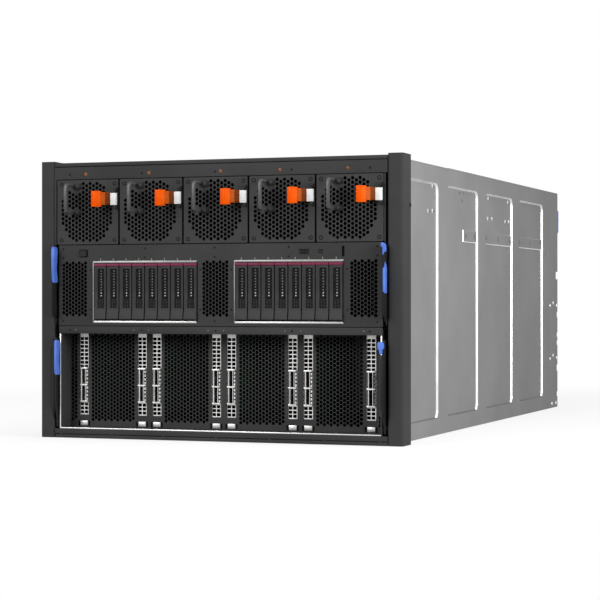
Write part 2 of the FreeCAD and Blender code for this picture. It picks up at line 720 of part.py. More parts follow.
def fan_module(count):
    name = f"fan_{count}"
    centre = f"fan_first + {count - 1} * fan_pitch"
    left, right = f"{centre} - fan_half", f"{centre} + fan_half"
    tube = profile(
        name + "_tube",
        "XZ_Plane",
        [rectangle(left, right, "fan_low", "fan_top"),
         rectangle(f"{left} + fan_wall", f"{right} - fan_wall", "fan_low + fan_wall", "fan_top - fan_wall")],
        "front + fan_plate",
        "fan_back",
    )
    strut = box(name + "_strut", (f"{left} + fan_wall / 2", f"{right} - fan_wall / 2"),
                ("strut_front", "strut_front + strut_depth"),
                ("fan_middle - strut_width / 2", "fan_middle + strut_width / 2"))
    spindle = rod(name + "_spindle", "y", "spindle_radius",
                  "spindle_tip + hub_length + hub_gap + strut_depth / 2", centre, "hub_front - spindle_tip",
                  "fan_middle")
    duct = join(name + "_duct", [tube, strut, spindle])

    blank = box(name + "_blank", (left, right), ("front", "front + fan_plate"), ("fan_low", "fan_top"))
    bore = number("fan_bore")
    margin = number("fan_cell_edge")
    foot_x = number("handle_left")
    feet = [number("handle_top - fan_middle"), number("handle_low - fan_middle")]
    latch_rise = number("latch_middle - fan_middle")
    latch_half = number("latch_height / 2 + latch_lug")

    def clear_of_fittings(x, z):
        at_foot = any(math.hypot(x + foot_x, z - foot) < 1.6 * margin for foot in feet)
        at_latch = x > foot_x and abs(z - latch_rise) < latch_half + margin / 2
        return math.hypot(x, z) < bore - margin and not at_foot and not at_latch

    holes = cells(name + "_holes", number("fan_cell_pitch"), number("fan_cell_web"), clear_of_fittings,
                  bore, bore, number("fan_plate + 2 * past"))
    place(holes, centre, "front - past", "fan_middle")
    pin_x = f"{right} - latch_lug / 2 - fit_gap"
    pin_y = "front - latch_lug / 2"
    leaf_low, leaf_top = "latch_middle - latch_height / 2", "latch_middle + latch_height / 2"
    lug_x = (f"{pin_x} - latch_lug / 2", f"{pin_x} + latch_lug / 2")
    lug_y = ("front - latch_lug", "front")
    lugs = [
        box(name + "_lug_low", lug_x, lug_y, (f"{leaf_low} - fit_gap - latch_lug", f"{leaf_low} - fit_gap")),
        box(name + "_lug_top", lug_x, lug_y, (f"{leaf_top} + fit_gap", f"{leaf_top} + fit_gap + latch_lug")),
    ]
    pin = rod(name + "_pin", "z", "latch_pin_radius", "latch_height + 2 * fit_gap + latch_lug", pin_x, pin_y,
              f"{leaf_low} - fit_gap - latch_lug / 2")
    grille = join(name + "_grille", [cut(name + "_plate", blank, [holes])] + lugs + [pin])

    handle = profile(
        name + "_handle",
        "YZ_Plane",
        [[("front", "handle_low"), ("front", "handle_low + handle_gauge"),
          ("front - handle_reach + handle_gauge", "handle_low + handle_gauge"),
          ("front - handle_reach + handle_gauge", "handle_top - handle_gauge"),
          ("front", "handle_top - handle_gauge"), ("front", "handle_top"),
          ("front - handle_reach", "handle_top"),
          ("front - handle_reach", "handle_low")]],
        f"{centre} - handle_left - handle_width / 2",
        f"{centre} - handle_left + handle_width / 2",
    )
    tip = number("front - handle_reach")
    soften(handle, "Chamfer", "handle_gauge", lambda at, way: abs(way.x) > 0.9 and at.y < tip + 0.1)
    keep_node(group(name + "_parts", [duct, grille, handle]), name + "_housing")

    hub = drum(name + "_hub", "y", 10, "hub_radius", "hub_length", centre, "hub_front", "fan_middle")
    blades = []
    lean = FreeCAD.Rotation(FreeCAD.Vector(0, 0, 1), blade_lean)
    aside = f"(blade_chord / 2 * {math.sin(math.radians(blade_lean)):.6f} - blade_gauge / 2)"
    for k in range(blade_count):
        turn = 360 / blade_count * k
        blade = doc.addObject("Part::Box", f"{name}_blade_{k}")
        around = FreeCAD.Rotation(FreeCAD.Vector(0, 1, 0), turn)
        blade.Placement = FreeCAD.Placement(FreeCAD.Vector(), around.multiply(lean))
        bind(blade, Length="blade_gauge", Width="blade_chord", Height="rotor_radius - blade_tip_gap")
        place(blade, f"{centre} + {aside} * {math.cos(math.radians(turn)):.6f}", "hub_front + blade_setback",
              f"fan_middle - {aside} * {math.sin(math.radians(turn)):.6f}")
        blades.append(blade)
    hole = rod(name + "_bore", "y", "spindle_radius + spindle_gap", "hub_length + 2 * past", centre,
               "hub_front - past", "fan_middle")
    keep_node(cut(name + "_spinner", join(name + "_wheel", [hub] + blades), [hole]), name + "_rotor")

    tip_y = "front - latch_reach"
    grip_left = f"{centre} + latch_grip_start"
    grip_right = f"{grip_left} + latch_grip_width"
    leaf_left = f"{pin_x} - latch_leaf"
    grip = profile(
        name + "_grip",
        "XY_Plane",
        [[(grip_left, tip_y), (grip_right, tip_y), (leaf_left, f"{pin_y} - latch_gauge / 2"),
          (leaf_left, f"{pin_y} + latch_gauge / 2"),
          (f"{grip_right} - latch_grip_wall", f"{tip_y} + latch_grip_wall"),
          (grip_left, f"{tip_y} + latch_grip_wall")]],
        "latch_middle - latch_grip_height / 2",
        "latch_middle + latch_grip_height / 2",
    )
    brow = FreeCAD.Vector(number(grip_right), number(tip_y), 0)
    soften(grip, "Chamfer", "latch_grip_wall * 0.7",
           lambda at, way: math.hypot(at.x - brow.x, at.y - brow.y) < 0.1)
    leaf = box(name + "_leaf", (leaf_left, pin_x),
               (f"{pin_y} - latch_gauge / 2", f"{pin_y} + latch_gauge / 2"), (leaf_low, leaf_top))
    barrel = drum(name + "_barrel", "z", 12, "latch_pin_radius + latch_pin_gap + latch_barrel_wall",
                  "latch_height", pin_x, pin_y, leaf_low)
    eye = rod(name + "_eye", "z", "latch_pin_radius + latch_pin_gap", "latch_height + 2 * past", pin_x, pin_y,
              f"{leaf_low} - past")
    hinge = cut(name + "_hinge", join(name + "_rolled", [leaf, barrel]), [eye])
    keep_node(group(name + "_catch", [grip, hinge]), name + "_latch")


for count in range(1, 6):
    fan_module(count)


# Levers that draw the two trays out: a flat arm that turns on a pin in the side of its tray.
def lever(name, side, low, top, chin, slope):
    x = ("lever_low", "lever_low + lever_gauge") if side > 0 else ("-lever_low - lever_gauge", "-lever_low")
    pivot = f"{low} + lever_heel + lever_heel_gap"
    arm = profile(
        name + "_arm",
        "YZ_Plane",
        [[("lever_pivot - lever_heel", f"{pivot} - lever_heel"),
          ("lever_pivot + lever_heel", f"{pivot} - lever_heel"),
          ("lever_pivot + lever_heel", f"{pivot} + lever_heel"),
          ("lever_pivot - lever_neck", f"{pivot} + lever_shoulder"), ("lever_pivot - lever_neck", top),
          ("front - lever_reach", top), ("front - lever_reach", f"{pivot} + {chin}"),
          ("lever_pivot - lever_heel", f"{pivot} + {chin} - {slope}")]],
        *x,
    )
    heel = number(f"{pivot} - lever_heel")
    crown = number(top)
    brow = number("front - lever_reach")
    soften(arm, "Fillet", "lever_heel * 0.9", lambda at, way: abs(way.x) > 0.9 and abs(at.z - heel) < 0.1)
    soften(arm, "Chamfer", "lever_round",
           lambda at, way: abs(way.x) > 0.9 and (abs(at.z - crown) < 0.1 or abs(at.y - brow) < 0.1))
    eye = rod(name + "_eye", "x", "lever_pin_radius + lever_pin_gap", "lever_gauge + 2 * past",
              f"{x[0]} - past", "lever_pivot", pivot)
    return keep_node(cut(name + "_drilled", arm, [eye]), name)


def lever_pin(name, side, low):
    start = "pan_half - pan_gauge / 2" if side > 0 else "-lever_low - lever_gauge"
    return rod(name, "x", "lever_pin_radius", "lever_low + lever_gauge - pan_half + pan_gauge / 2", start,
               "lever_pivot", f"{low} + lever_heel + lever_heel_gap")


def tray_pan(tray, low, brim):
    """A folded pan with a pin for a lever at each side."""
    pan = profile(
        f"{tray}_sheet",
        "XZ_Plane",
        [[("-pan_half", low), ("pan_half", low), ("pan_half", brim), ("pan_in", brim),
          ("pan_in", f"{low} + pan_gauge"), ("-pan_in", f"{low} + pan_gauge"), ("-pan_in", brim),
          ("-pan_half", brim)]],
        "front + panel_gauge",
        "front + tray_depth",
    )
    pins = [lever_pin(f"{tray}_pin_left", -1, low), lever_pin(f"{tray}_pin_right", 1, low)]
    return keep_node(join(f"{tray}_tray_sheet", [pan] + pins), f"{tray}_pan")


def heat_sink(name, left, right, low, base, top, fins, start, end):
    """Upright fins on a base, drawn as one outline and run along Y."""
    pitch = f"(({right}) - ({left}) - fin_gauge) / {fins - 1}"
    corners = [(left, low), (right, low)]
    for k in range(fins - 1, -1, -1):
        edge = f"{left} + {k} * {pitch}"
        corners += [(f"{edge} + fin_gauge", top), (edge, top)]
        if k > 0:
            corners += [(edge, base), (f"{left} + {k - 1} * {pitch} + fin_gauge", base)]
    return profile(name, "XZ_Plane", [corners], start, end)


# Compute tray: pan, front panel with two drive bays and three vents, board, button and levers.
tray_pan("compute", "compute_low", "compute_brim")

bay_window = [
    rectangle(f"{side} * bay_centre - bay_half - bay_window_gap",
              f"{side} * bay_centre + bay_half + bay_window_gap",
              "bay_low - bay_window_gap", "bay_top + bay_window_gap")
    for side in (-1, 1)
]
vent_window = [
    rectangle(f"{side} * vent_middle - vent_half_width", f"{side} * vent_middle + vent_half_width",
              "vent_low", "vent_top")
    for side in (-1, 0, 1)
]
button_x = ("button_from_end - panel_half - button_width / 2",
            "button_from_end - panel_half + button_width / 2")
button_z = ("button_middle - button_height / 2", "button_middle + button_height / 2")
button_window = rectangle(f"{button_x[0]} - button_gap", f"{button_x[1]} + button_gap",
                          f"{button_z[0]} - button_gap", f"{button_z[1]} + button_gap")
socket_window = [
    rectangle(f"panel_half - {kind}_from_end - {kind}_width / 2",
              f"panel_half - {kind}_from_end + {kind}_width / 2",
              f"button_middle - {kind}_height / 2", f"button_middle + {kind}_height / 2")
    for kind in ("port", "small_port", "thumb_slot")
]
keep_node(
    profile(
        "compute_face",
        "XZ_Plane",
        [rectangle("-panel_half", "panel_half", "compute_low", "compute_top")]
        + bay_window + vent_window + [button_window] + socket_window,
        "front",
        "front + panel_gauge",
    ),
    "compute_front_panel",
)

vents = []
for side in (-1, 0, 1):
    middle = f"{side} * vent_middle"
    blank = box(
        f"vent_blank_{side + 1}",
        (f"{middle} - vent_half_width - vent_margin", f"{middle} + vent_half_width + vent_margin"),
        ("front + panel_gauge", "front + panel_gauge + vent_gauge"),
        ("vent_low - vent_margin", "vent_top + vent_margin"),
    )
    holes = cells(f"vent_holes_{side + 1}", number("vent_cell_pitch"), number("vent_cell_web"),
                  lambda x, z: True, number("vent_half_width"), number("(vent_top - vent_low) / 2"),
                  number("vent_gauge + 2 * past"))
    place(holes, middle, "front + panel_gauge - past", "(vent_low + vent_top) / 2")
    vents.append(cut(f"vent_{side + 1}", blank, [holes]))
keep_node(group("vents", vents), "compute_vents")

bays = []
for side in (-1, 1):
    low, high = f"{side} * bay_centre - bay_half", f"{side} * bay_centre + bay_half"
    room = rectangle(f"{low} + bay_wall", f"{high} - bay_wall", "bay_low + bay_wall", "bay_top - bay_wall")
    sleeve = profile(f"sleeve_{side + 1}", "XZ_Plane", [rectangle(low, high, "bay_low", "bay_top"), room],
                     "front", "drive_end")
    rim = profile(
        f"rim_{side + 1}",
        "XZ_Plane",
        [rectangle(f"{low} - bay_rim_side", f"{high} + bay_rim_side", "bay_low - bay_rim_low",
                   "bay_top + bay_rim_top"), room],
        "front - bay_rim_gauge",
        "front",
    )
    bays.append(join(f"bay_{side + 1}", [sleeve, rim]))
keep_node(group("bays", bays), "drive_cages")


# Drives: a carrier bezel with a long recess, a sloping chin and a release tab, on the drive body.
def drive(count):
    name = f"drive_{count:02d}"
    side = -1 if count <= 8 else 1
    centre = f"{side} * bay_centre + ({(count - 1) % 8} - 3.5) * drive_pitch"
    left, right = f"{centre} - (drive_pitch - drive_gap) / 2", f"{centre} + (drive_pitch - drive_gap) / 2"
    back = "drive_face + bezel_depth"
    bezel = profile(
        name + "_bezel",
        "YZ_Plane",
        [[("drive_face", "tab_low"), ("drive_face", "chin_top"),
          ("drive_face - bezel_chin_reach", "drive_low + bezel_chin_foot"),
          ("drive_face - bezel_chin_reach + bezel_chin_foot", "drive_low"), (back, "drive_low"),
          (back, "tab_low")]],
        left,
        right,
    )
    slot = box(name + "_slot", (f"{left} + bezel_slot_left", f"{left} + bezel_slot_left + bezel_slot_width"),
               ("drive_face - past", "drive_face + bezel_slot_depth"),
               ("chin_top + bezel_slot_margin", "tab_low - bezel_slot_margin"))
    tab = profile(
        name + "_tab",
        "YZ_Plane",
        [[("drive_face - drive_tab_lip", "tab_low"), (back, "tab_low"), (back, "drive_top"),
          ("drive_face", "drive_top"), ("drive_face - drive_tab_lip", "drive_top - drive_tab_lip")]],
        left,
        right,
    )
    body = box(name + "_body", (f"{left} + drive_body_inset", f"{right} - drive_body_inset"),
               (back, "drive_end - drive_end_gap"),
               ("drive_low + drive_body_inset", "drive_top - drive_body_inset"))
    keep_node(group(name + "_parts", [cut(name + "_carrier", bezel, [slot]), tab, body]), name)


for count in range(1, 17):
    drive(count)

board = [
    box("board", ("-pan_in + board_edge", "pan_in - board_edge"),
        ("drive_end + board_gap", "front + tray_depth - board_end_gap"), ("board_low", "board_top")),
    box("drive_backplane", ("-bay_outer", "bay_outer"),
        ("drive_end + backplane_gap", "drive_end + backplane_gap + backplane_gauge"),
        ("board_low", "bay_top")),
]
for side in (-1, 1):
    middle = f"{side} * sink_from_middle"
    board.append(
        heat_sink(f"heat_sink_{side + 1}", f"{middle} - sink_width / 2", f"{middle} + sink_width / 2",
                  "board_top", "board_top + sink_base", "compute_top - sink_headroom", 7,
                  "drive_end + sink_start", "drive_end + sink_start + sink_length")
    )
    for k in (-1, 1):
        row = f"{middle} + {k} * memory_from_sink"
        board.append(
            box(f"memory_{side + 1}_{k + 1}", (f"{row} - memory_width / 2", f"{row} + memory_width / 2"),
                ("drive_end + memory_start", "drive_end + memory_start + memory_length"),
                ("board_top", "board_top + memory_height"))
        )
keep_node(group("compute_boards", board), "compute_board")

cap = profile("button_cap", "XZ_Plane", [rectangle(*button_x, *button_z)],
              "front - button_travel - button_proud", "front + panel_gauge + button_travel")
soften(cap, "Fillet", "button_corner", lambda at, way: abs(way.y) > 0.9)
flange = box("button_back", (f"{button_x[0]} - button_flange", f"{button_x[1]} + button_flange"),
             ("front + panel_gauge + fit_gap / 4", "front + panel_gauge + 2 * button_travel"),
             (f"{button_z[0]} - button_flange", f"{button_z[1]} + button_flange"))
keep_node(join("button", [cap, flange]), "power_button")
for side, hand in ((-1, "left"), (1, "right")):
    lever(f"compute_lever_{hand}", side, "compute_low", "compute_brim", "compute_lever_chin",
          "compute_lever_slope")

# Network card tray: pan, bulkhead with slots, brackets, port cages and levers.
tray_pan("gpu", "gpu_low", "gpu_brim")

steps = (-9.5, -5.5, -4.5, -0.5, 0.5, 4.5, 5.5, 9.5)
edges = ["-pan_in"] + [f"{step} * card_pitch" for step in steps] + ["pan_in"]
bulkhead_y = ("card_face", "card_behind")
bulkhead = [
    box("bulkhead_rail", ("-pan_in", "pan_in"), bulkhead_y, ("gpu_floor", "slot_low")),
    box("bulkhead_lip", ("-panel_half", "panel_half"), ("front", "front + panel_gauge"),
        ("bar_low", "gpu_top")),
    box("bulkhead_shelf", ("-pan_in", "pan_in"), ("front + panel_gauge", "card_behind"),
        ("shelf_low", "shelf_low + panel_gauge")),
]
for k in range(9):
    start = edges[k] if k == 0 else f"{edges[k]} + card_slot_width / 2"
    end = edges[k + 1] if k == 8 else f"{edges[k + 1]} - card_slot_width / 2"
    panel = box(f"bulkhead_panel_{k}", (start, end), bulkhead_y, ("slot_low", "shelf_low"))
    if k in (1, 3, 5, 7):
        holes = cells(f"bulkhead_holes_{k}", number("bulkhead_cell_pitch"), number("bulkhead_cell_web"),
                      lambda x, z: True, number(f"(({end}) - ({start})) / 2 - bulkhead_border"),
                      number("(shelf_low - slot_low) / 2 - bulkhead_border"),
                      number("bulkhead_gauge + 2 * past"))
        place(holes, f"(({start}) + ({end})) / 2", "card_face - past", "(slot_low + shelf_low) / 2")
        panel = cut(f"bulkhead_grille_{k}", panel, [holes])
    bulkhead.append(panel)
keep_node(group("bulkhead", bulkhead), "card_bulkhead")

brackets = []
cages = []
for k, step in enumerate(steps):
    centre = f"{step} * card_pitch"
    cage_x = (f"{centre} - cage_width / 2", f"{centre} + cage_width / 2")
    windows = [
        rectangle(f"{cage_x[0]} - cage_gap", f"{cage_x[1]} + cage_gap", "cage_start - cage_gap",
                  "cage_top + cage_gap")
    ]
    free = "(bar_low - cage_top - bracket_vent_margin) / 3"
    for n in range(3):
        low = f"cage_top + bracket_vent_margin + {n} * {free}"
        windows.append(
            rectangle(f"{centre} - bracket_vent_width / 2", f"{centre} + bracket_vent_width / 2", low,
                      f"{low} + bracket_vent_height")
        )
    brackets.append(
        profile(
            f"bracket_{k}",
            "XZ_Plane",
            [rectangle(f"{centre} - bracket_width / 2", f"{centre} + bracket_width / 2",
                       "slot_low - bracket_overlap", "bar_low")] + windows,
            "card_behind",
            "card_behind + bracket_gauge",
        )
    )
    brackets.append(
        box(f"bracket_tab_{k}", (f"{centre} - bracket_tab_width / 2", f"{centre} + bracket_tab_width / 2"),
            ("card_face - bracket_gauge", "card_face"),
            ("gpu_floor + bracket_tab_rise", "gpu_floor + bracket_tab_rise + bracket_tab_height"))
    )
    brackets.append(
        box(f"card_{k}", (cage_x[1], f"{cage_x[1]} + card_gauge"),
            ("card_behind + bracket_gauge", "card_behind + bracket_gauge + card_length"),
            ("slot_low + card_sill", "bar_low - card_drop"))
    )
    cage = box(f"cage_block_{k}", cage_x, ("cage_front", "cage_front + cage_depth"),
               ("cage_start", "cage_top"))
    ports = []
    for n in range(2):
        low = f"cage_start + {n} * cage_height / 2 + cage_wall"
        ports.append(
            box(f"cage_port_{k}_{n}", (f"{cage_x[0]} + cage_wall", f"{cage_x[1]} - cage_wall"),
                ("cage_front - past", "cage_front + cage_depth - cage_wall"),
                (low, f"{low} + cage_height / 2 - 2 * cage_wall"))
        )
    cages.append(cut(f"cage_{k}", cage, ports))
keep_node(group("bracket_set", brackets), "card_brackets")
keep_node(group("cage_set", cages), "port_cages")
for side, hand in ((-1, "left"), (1, "right")):
    lever(f"gpu_lever_{hand}", side, "gpu_low", "bar_low - gpu_lever_drop", "gpu_lever_chin",
          "gpu_lever_slope")

# Rear half: midplane, accelerator modules, power supplies, exhaust fans and the input panel.
keep_node(
    box("midplane_board", ("-pan_half", "pan_half"), ("midplane_front", "module_front"),
        ("wall_gauge", "cover_low")),
    "midplane",
)
module_top = "rear_fan_low + module_board_gauge"
module_run = "(module_rear - module_front) / 2"
module_pitch = "(pan_half - module_edge) / 2"
modules = [
    box("module_board", ("-pan_half + module_board_edge", "pan_half - module_board_edge"),
        ("module_front", "module_rear"), ("rear_fan_low", module_top)),
]
for k in range(8):
    left = f"-pan_half + module_edge + {k % 4} * {module_pitch}"
    start = f"module_front + {k // 4} * {module_run}"
    modules.append(
        heat_sink(f"module_{k}", left, f"{left} + {module_pitch} - module_gap", module_top,
                  f"{module_top} + module_base", "rear_fan_top - module_headroom", 5,
                  f"{start} + module_front_gap", f"{start} + {module_run} - module_rear_gap")
    )
keep_node(group("accelerators", modules), "gpu_modules")

supplies = []
for k in range(8):
    low = f"-pan_half + {k} * supply_pitch + supply_gap / 2"
    high = f"{low} + supply_pitch - supply_gap"
    middle = f"{k - 3.5} * supply_pitch"
    block = box(f"supply_block_{k}", (low, high), ("supply_front", "rear"), ("wall_gauge", "supply_top"))
    inlet = box(f"supply_inlet_{k}", (f"{middle} - inlet_width / 2", f"{middle} + inlet_width / 2"),
                ("rear - inlet_depth", "rear + past"),
                ("wall_gauge + inlet_rise", "wall_gauge + inlet_rise + inlet_height"))
    supplies.append(cut(f"supply_{k}", block, [inlet]))
keep_node(group("supply_row", supplies), "power_supplies")

exhaust = []
for k in range(10):
    middle = f"{k % 5 - 2} * rear_fan_pitch"
    half = "(rear_fan_pitch - rear_fan_gap) / 2"
    height = f"rear_fan_low + {k // 5 + 0.5} * rear_fan_row"
    half_height = "(rear_fan_row - rear_fan_gap) / 2"
    block = box(f"exhaust_block_{k}", (f"{middle} - {half}", f"{middle} + {half}"),
                ("rear - rear_fan_depth", "rear"), (f"{height} - {half_height}", f"{height} + {half_height}"))
    mouth = drum(f"exhaust_mouth_{k}", "y", 10, f"{half_height} - rear_fan_rim", "rear_fan_mouth + past",
                 middle, "rear - rear_fan_mouth", height)
    hub = drum(f"exhaust_hub_{k}", "y", 6, "hub_radius", "rear_hub_length", middle,
               "rear - rear_fan_mouth", height)
    exhaust.append(join(f"exhaust_{k}", [cut(f"exhaust_case_{k}", block, [mouth]), hub]))
keep_node(group("exhaust_fans", exhaust), "rear_fans")

rear_panel = [
    box("supply_shelf", ("-room_half", "room_half"), ("supply_front", "rear"),
        ("supply_top", "rear_fan_low - rear_frame / 2")),
    box("fan_shelf", ("-room_half", "room_half"), ("rear - rear_fan_depth", "rear"),
        ("rear_fan_low - rear_frame / 2", "rear_fan_low + rear_fan_gap / 2")),
    box("io_shelf", ("-room_half", "room_half"), ("rear - rear_fan_depth", "rear"),
        ("rear_fan_top - rear_fan_gap / 2", "io_low")),
    box("io_plate", ("-room_half + rear_panel_edge", "room_half - rear_panel_edge"),
        ("rear - rear_panel_setback - rear_panel_gauge", "rear - rear_panel_setback"),
        ("io_low", "cover_low")),
]
for side, hand in ((-1, "left"), (1, "right")):
    lug_x = ("rear_lug_in", "rear_lug_out") if side > 0 else ("-rear_lug_out", "-rear_lug_in")
    lug = box(f"rear_lug_{hand}", lug_x, ("rear - rear_lug_inset", "rear + rear_lug_reach"),
              ("io_low", "io_low + rear_lug_height"))
    pin = rod(f"rear_pin_{hand}", "x", "lever_pin_radius", "rear_lug_out - rear_arm_in",
              "rear_arm_in" if side > 0 else "-rear_lug_out", "rear_pin_y", "rear_pin_z")
    rear_panel.append(join(f"rear_hinge_{hand}", [lug, pin]))
keep_node(group("rear_parts", rear_panel), "rear_panel")


def rear_lever(name, side):
    x = ("rear_arm_in", "rear_arm_out") if side > 0 else ("-rear_arm_out", "-rear_arm_in")
    arm = profile(
        name + "_arm",
        "YZ_Plane",
        [[("rear_pin_y - rear_heel", "io_low + rear_heel_rise"),
          ("rear_pin_y + rear_heel", "io_low + rear_heel_rise"),
          ("rear + rear_reach", "io_low + rear_lever_bend"),
          ("rear + rear_reach", "cover_low - rear_lever_drop"),
          ("rear + rear_reach - rear_lever_gauge", "cover_low - rear_lever_drop"),
          ("rear + rear_reach - rear_lever_gauge", "io_low + rear_lever_bend + rear_pin_inset"),
          ("rear_pin_y - rear_heel", "io_low + rear_lug_height")]],
        *x,
    )
    eye = rod(name + "_eye", "x", "lever_pin_radius + lever_pin_gap", "lever_gauge + 2 * past",
              f"{x[0]} - past", "rear_pin_y", "rear_pin_z")
    return keep_node(cut(name + "_drilled", arm, [eye]), name)


rear_lever("rear_lever_left", -1)
rear_lever("rear_lever_right", 1)

doc.removeObject(gauge.Name)
doc.recompute()
for thing in doc.Objects:
    if "Invalid" in thing.State or "Error" in thing.State:
        raise ValueError(f"{thing.Label} did not build")
os.makedirs("parts", exist_ok=True)
for thing in nodes:
    if thing.Shape.isNull() or not thing.Shape.isValid():
        raise ValueError(f"{thing.Label} has no valid shape")
    thing.Shape.exportStep(f"parts/{thing.Label}.step")
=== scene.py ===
import math

import bmesh
import bpy
from mathutils import Matrix, Vector


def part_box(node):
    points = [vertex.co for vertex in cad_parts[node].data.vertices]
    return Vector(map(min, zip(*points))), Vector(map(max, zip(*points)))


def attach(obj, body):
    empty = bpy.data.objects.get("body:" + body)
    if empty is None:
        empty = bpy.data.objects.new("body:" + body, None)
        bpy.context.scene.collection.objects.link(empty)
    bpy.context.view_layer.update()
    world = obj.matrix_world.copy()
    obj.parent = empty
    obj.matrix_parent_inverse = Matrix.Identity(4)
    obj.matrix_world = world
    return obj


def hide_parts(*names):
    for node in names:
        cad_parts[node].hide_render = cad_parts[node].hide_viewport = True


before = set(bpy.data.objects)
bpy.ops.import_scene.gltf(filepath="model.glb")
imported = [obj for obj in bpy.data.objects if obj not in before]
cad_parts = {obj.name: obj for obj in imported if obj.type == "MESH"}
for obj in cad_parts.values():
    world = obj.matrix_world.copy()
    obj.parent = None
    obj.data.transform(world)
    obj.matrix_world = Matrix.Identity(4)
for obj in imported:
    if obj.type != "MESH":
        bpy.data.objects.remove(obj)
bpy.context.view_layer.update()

# Case shell: the two side walls, each folded from one blank of galvanised steel.
# Four shallow recesses are pressed into each wall to stiffen it, and a flat brace is
# spot-welded across the three rear ones.


def linear(code):
    """An sRGB hex colour as linear red, green, blue and alpha."""
    def channel(pair):
        value = int(pair, 16) / 255
        return value / 12.92 if value <= 0.04045 else ((value + 0.055) / 1.055) ** 2.4
    return (channel(code[1:3]), channel(code[3:5]), channel(code[5:7]), 1.0)


def add(tree, kind, *sources, **settings):
    """Add a shader node: settings are linked or set by name, and sources fill the other inputs in order."""
    made = tree.nodes.new("ShaderNode" + kind)
    for name, value in settings.items():
        socket = made.inputs.get(name.replace("_", " "))
        if isinstance(value, bpy.types.NodeSocket):
            tree.links.new(value, socket)
        elif socket is not None:
            socket.default_value = value
        else:
            setattr(made, name, value)
    free = [socket for socket in made.inputs if socket.name.replace(" ", "_") not in settings]
    for source, socket in zip(sources, free):
        tree.links.new(source, socket)
    return made


def surface(name, dark, light, patch, grain, depth, rough, stretch=(1, 1, 1), sheen=0.5, **fixed):
    """A finish with tone patches and a fine grain, both in millimetres, on one shader."""
    tone_edges, gloss_spread = (0.36, 0.64), 0.07
    made = bpy.data.materials.new(name)
    made.use_nodes = True
    tree = made.node_tree
    tree.nodes.clear()
    place = add(tree, "TexCoord").outputs["Object"]
    run = add(tree, "Mapping", Vector=place, Scale=stretch).outputs["Vector"]
    tone = add(tree, "TexNoise", Vector=run, Scale=1000 / patch, Detail=3.0)
    ramp = add(tree, "ValToRGB", Fac=tone.outputs["Fac"])
    for stop, at, code in zip(ramp.color_ramp.elements, tone_edges, (dark, light)):
        stop.position = at
        stop.color = linear(code)
    fine = add(tree, "TexNoise", Vector=run, Scale=1000 / grain, Detail=2.0)
    bump = add(tree, "Bump", Height=fine.outputs["Fac"], Distance=depth / 1000, Strength=0.6)
    dull = add(tree, "MapRange", Value=fine.outputs["Fac"], To_Min=rough - gloss_spread,
               To_Max=rough + gloss_spread)
    shader = add(tree, "BsdfPrincipled", Base_Color=ramp.outputs["Color"], Roughness=dull.outputs["Result"],
                 Normal=bump.outputs["Normal"], Specular_IOR_Level=sheen, **fixed)
    add(tree, "OutputMaterial", Surface=shader.outputs["BSDF"])
    return made


# Hot-dip galvanised sheet: zinc under a dull grey film, so it is part metal and part matt, with a
# faint spangle some 14 mm across.
zinc = surface("galvanised_steel", "#808080", "#878787", 120, 14, 0.04, 0.5, sheen=0.02, Metallic=0.1)
# Pale, smooth zinc: on the recess slopes and the brace's edges it is a painted highlight; the rivet heads and
# the bare front edge of the card pan are given it too.
bare_zinc_and_highlight = surface("burnished_zinc", "#d0d0d0", "#e2e2e2", 60, 6, 0.03, 0.3, Metallic=1.0)
# Painted shade: a darker zinc on the lowest slopes of each pressing.
shaded_zinc = surface("oiled_galvanised_steel", "#626262", "#6a6a6a", 60, 6, 0.03, 0.5, sheen=0.02)
# Painted shade: near black, for the dark inside the case, its fans, openings and hollows.
painted_shade = surface("blackened_steel", "#0a0a0a", "#101010", 40, 4, 0.04, 0.7, sheen=0.05)


def span(node):
    """A CAD node's lowest and highest corner in millimetres."""
    low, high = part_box(node)
    return [1000 * value for value in low], [1000 * value for value in high]


def circle(x, z, radius, sides=20):
    """A circle, or with few sides a polygon that has a corner at its right."""
    turns = [2 * math.pi * step / sides for step in range(sides)]
    return [(x + radius * math.cos(turn), z + radius * math.sin(turn)) for turn in turns]


def rounded(left, right, low, high, radius, steps=4):
    """A rectangle with rounded corners, counter-clockwise."""
    corners = ((right - radius, high - radius, 0), (left + radius, high - radius, 90),
               (left + radius, low + radius, 180), (right - radius, low + radius, 270))
    return [(x + radius * math.cos(math.radians(start + 90 * step / steps)),
             z + radius * math.sin(math.radians(start + 90 * step / steps)))
            for x, z, start in corners for step in range(steps + 1)]


def punched(outline, holes, gauge):
    """A flat sheet with holes through it, lying on its own XY plane around z = 0."""
    curve = bpy.data.curves.new("blank", "CURVE")
    curve.dimensions = "2D"
    curve.fill_mode = "BOTH" if gauge else "FRONT"
    curve.extrude = gauge / 2
    for ring in [outline] + holes:
        spline = curve.splines.new("POLY")
        spline.points.add(len(ring) - 1)
        for point, (x, y) in zip(spline.points, ring):
            point.co = (x, y, 0, 1)
        spline.use_cyclic_u = True
    holder = bpy.data.objects.new("blank", curve)
    mesh = bpy.data.meshes.new_from_object(holder)
    bpy.data.objects.remove(holder)
    bpy.data.curves.remove(curve)
    return mesh


def stamp(work, mesh, matrix, paint=0):
    """Add a mesh to a workpiece at a place, in one of the piece's finishes."""
    mesh.transform(matrix)
    known = len(work.faces)
    work.from_mesh(mesh)
    bpy.data.meshes.remove(mesh)
    work.faces.ensure_lookup_table()
    for face in work.faces[known:]:
        face.material_index = paint


# where the two sides of an outline or ring and the way along it go among x, y and z
axis_order = {"x": (2, 0, 1), "y": (0, 2, 1), "z": (0, 1, 2)}


